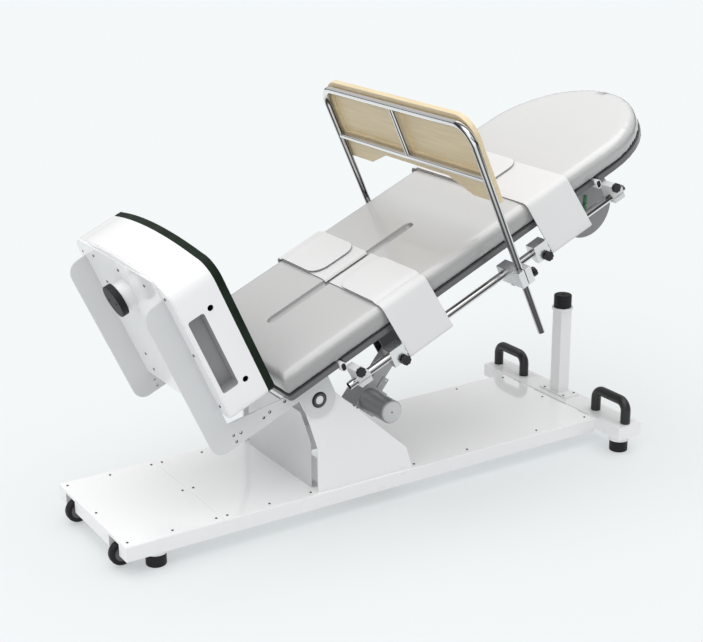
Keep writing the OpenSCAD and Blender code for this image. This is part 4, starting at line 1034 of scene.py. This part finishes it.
@dataclass
class AngleScale:
    """The graduated scale on the dial."""

    bed: Place
    centre_a: float = 1350.0
    centre_m: float = -18.0
    face_y: float = -255.0
    rim: float = 127.0
    short: float = 7.0
    long: float = 13.0
    line: float = 1.4
    proud: float = 0.25
    step: int = 5
    long_step: int = 15
    figure_step: int = 30
    last: int = 90
    figure_size: float = 13.0
    figure_gap_share: float = 0.8

    def build(self) -> None:
        """Makes the marks and the figures as one flat piece."""
        bm = bmesh.new()
        for angle in range(0, self.last + 1, self.step):
            length = self.long if angle % self.long_step == 0 else self.short
            start = len(bm.verts)
            block(bm, (-self.line / 2, 0, self.rim - length), (self.line / 2, self.proud, self.rim))
            bm.verts.ensure_lookup_table()
            bmesh.ops.transform(bm, matrix=self.turned(angle), verts=bm.verts[start:])
        for angle in range(0, self.last + 1, self.figure_step):
            self.add_figure(bm, angle)
        settle(bm, "dial_marks", MARK_ENAMEL, "bed", self.bed.matrix)

    def turned(self, angle: float) -> Matrix:
        """Gives the place at an angle of tilt, with Z out from the dial's centre and Y off its face."""
        away = Matrix.Rotation(math.radians(180 + angle), 4, "Y")
        flip = Matrix.Rotation(math.radians(180), 4, "Z")
        return Matrix.Translation((self.centre_a, self.face_y, self.centre_m)) @ away @ flip

    def add_figure(self, bm: BMesh, angle: int) -> None:
        """Adds the figure of one angle.

        Args:
            bm: The mesh that it joins.
            angle: The angle in degrees.
        """
        text = bpy.data.curves.new(f"figure_{angle}", "FONT")
        text.body = str(angle)
        text.size = self.figure_size
        text.extrude = self.proud / 2
        text.align_x = text.align_y = "CENTER"
        carrier = bpy.data.objects.new(text.name, text)
        mesh = bpy.data.meshes.new_from_object(carrier)
        out = self.rim - self.long - self.figure_size * self.figure_gap_share
        way = math.radians(angle)
        place = Matrix.Translation((self.centre_a - out * math.sin(way), self.face_y - self.proud / 2,
                                    self.centre_m - out * math.cos(way)))
        mesh.transform(place @ Matrix.Rotation(math.radians(90), 4, "X"))
        bm.from_mesh(mesh)
        bpy.data.objects.remove(carrier)
        bpy.data.curves.remove(text)
        bpy.data.meshes.remove(mesh)


@dataclass
class MotorTrim:
    """The actuator motor's pale lid and its centre mark."""

    base: Place
    axis_x: float = 1141.0
    axis_z: float = 326.0
    end_y: float = -209.0
    lid: Line = ((0.0, -2.3), (40.0, -2.3), (42.0, -3.0), (42.0, -4.0))
    lid_steps: int = 64
    mark: Line = ((0.0, 0.4), (2.4, 0.4), (2.8, 0.0), (2.8, -2.0))
    mark_steps: int = 16

    def build(self) -> None:
        """Makes the lid and its turned centre."""
        place = facing((self.axis_x, self.end_y, self.axis_z), (0, -1, 0))
        for name, finish, outline, steps in (("motor_lid", MOTOR_LID, self.lid, self.lid_steps),
                                             ("motor_centre", DARK_STEEL, self.mark, self.mark_steps)):
            bm = bmesh.new()
            lathe(bm, outline, place, steps)
            settle(bm, name, finish, "actuator", self.base.matrix)


@dataclass
class Strap:
    """A flat strap: a lower layer that goes over the mattress edge and round its bar, and a raised flap."""

    bed: Place
    node: str
    body: str
    sides: tuple[Side, ...]
    start_a: float
    flap: tuple[float, float]
    width: float = 203.0
    thickness: float = 4.4
    low_m: float = 210.2
    rise: float = 9.0
    ramp: float = 16.0
    edge_y: float = 352.0
    edge_m: float = 182.0
    bar_y: float = 429.0
    bar_m: float = 14.0
    edge_r: float = 28.0
    bar_r: float = 7.4
    wrap: float = 290.0
    groove: Line = ((11.6, 199.6), (16.4, 204.6), (21.0, 208.8), (27.0, 210.0))
    corners: tuple[float, float] = (62.0, 55.0)
    columns: int = 28
    first_y: int = 40
    step_y: int = 24
    edge_steps: int = 10
    fall_steps: int = 6
    wrap_steps: int = 20
    flat_steps: int = 10
    ramp_steps: int = 4
    ramp_gap: float = 0.6
    rim: float = 0.9
    rim_segments: int = 2
    rim_angle: float = math.radians(50)
    fill: float = 0.3

    def build(self) -> Piece:
        """Makes the strap from bent sheets.

        Returns:
            The finished strap.
        """
        bm = bmesh.new()
        outward = [(y, self.low_m) for y in range(self.first_y, int(self.edge_y), self.step_y)]
        outward += self.over_edge()
        single = len(self.sides) == 1
        inner = self.groove if single else [(-y, m) for y, m in reversed(outward)]
        for line in (lambda share: [*inner, *outward], self.flap_line):
            self.sheet(bm, line, self.sides[0].value if single else 1)
        piece = settle(bm, f"{self.node}_band", STRAP_VINYL, self.body, self.bed.matrix, replaced=(self.node,))
        thick = piece.modifiers.new("thick", "SOLIDIFY")
        thick.thickness = self.thickness * MM
        thick.offset = 0.0
        # The sheet's rims take the darker second material, as a painted shade line along the strap's edges.
        thick.material_offset_rim = 1
        piece.data.materials.append(STRAP_EDGE_SHADE.material())
        rim = piece.modifiers.new("rim", "BEVEL")
        rim.width = self.rim * MM
        rim.segments = self.rim_segments
        rim.limit_method = "ANGLE"
        rim.angle_limit = self.rim_angle
        return piece

    @staticmethod
    def arc(y: float, m: float, radius: float, start: float, sweep: float, steps: int) -> Points:
        """Gives the points of an arc round a centre, from its start angle over its sweep."""
        angles = [start + sweep * i / steps for i in range(steps + 1)]
        return [(y + radius * math.cos(angle), m + radius * math.sin(angle)) for angle in angles]

    def over_edge(self) -> Points:
        """Gives the line from the mattress top round its edge and round the bar.

        Returns:
            Points outwards and down, on the far side.
        """
        reach = Vector((self.bar_y - self.edge_y, self.bar_m - self.edge_m))
        turn = math.atan2(reach.y, reach.x) + math.acos((self.edge_r - self.bar_r) / reach.length)
        edge = self.arc(self.edge_y, self.edge_m, self.edge_r, math.pi / 2, turn - math.pi / 2, self.edge_steps)
        bar = self.arc(self.bar_y, self.bar_m, self.bar_r, turn, -math.radians(self.wrap), self.wrap_steps)
        fall = [tuple(Vector(edge[-1]).lerp(Vector(bar[0]), i / self.fall_steps))
                for i in range(1, self.fall_steps)]
        return edge + fall + bar

    def flap_line(self, share: float) -> Points:
        """Gives the line of the raised flap, whose free end is rounded.

        Args:
            share: The place across the strap's width, from zero to one.

        Returns:
            Points from the free end outwards.
        """
        first, last = self.flap
        back = 0.0
        for radius, away in zip(self.corners, (share * self.width, (1 - share) * self.width)):
            if away < radius:
                back = max(back, radius - math.sqrt(radius ** 2 - (radius - away) ** 2))
        begin = first + back
        top = self.low_m + self.rise
        drop = self.rise - self.ramp_gap
        flat = [(begin + (last - begin) * i / self.flat_steps, top) for i in range(self.flat_steps + 1)]
        return flat + [(last + self.ramp * i / self.ramp_steps, top - drop * i / self.ramp_steps)
                       for i in range(1, self.ramp_steps + 1)]

    def sheet(self, bm: BMesh, line: Callable[[float], Points], sign: int) -> None:
        """Adds a sheet whose line may change across its width.

        Args:
            bm: The mesh that it joins.
            line: Gives the sheet's line at a place across the width.
            sign: The sign of Y on the side that the line lies on.
        """
        rows = []
        for i in range(self.columns + 1):
            share = (1 - math.cos(math.pi * i / self.columns)) / 2
            a = self.start_a + share * self.width
            rows.append([bm.verts.new((a, sign * y, m)) for y, m in line(share)])
        for one, two in zip(rows, rows[1:]):
            for corner in zip(one, one[1:], two[1:], two):
                bm.faces.new(corner)


def main() -> None:
    """Builds the studio and the dressed table."""
    logging.basicConfig(level=logging.INFO, format="%(message)s")
    base, bed = Place.of_base(), Place.of_bed()
    Studio().build()
    NodeDresser().build(bed)
    SoftForm("mattress", "bed", PADDING, Groove(bed)).build()
    for side in Side:
        knee = f"{side.name.lower()}_knee"
        Strap(bed, f"{knee}_strap", f"{knee}_support", (side,), start_a=331.0, flap=(72.0, 322.0)).build()
    Strap(bed, "chest_strap", "chest_support", tuple(Side), start_a=1027.0, flap=(-100.0, 322.0)).build()
    SmallHardware(base, bed).build()
    AngleScale(bed).build()
    MotorTrim(base).build()


if __name__ == "__main__":
    main()
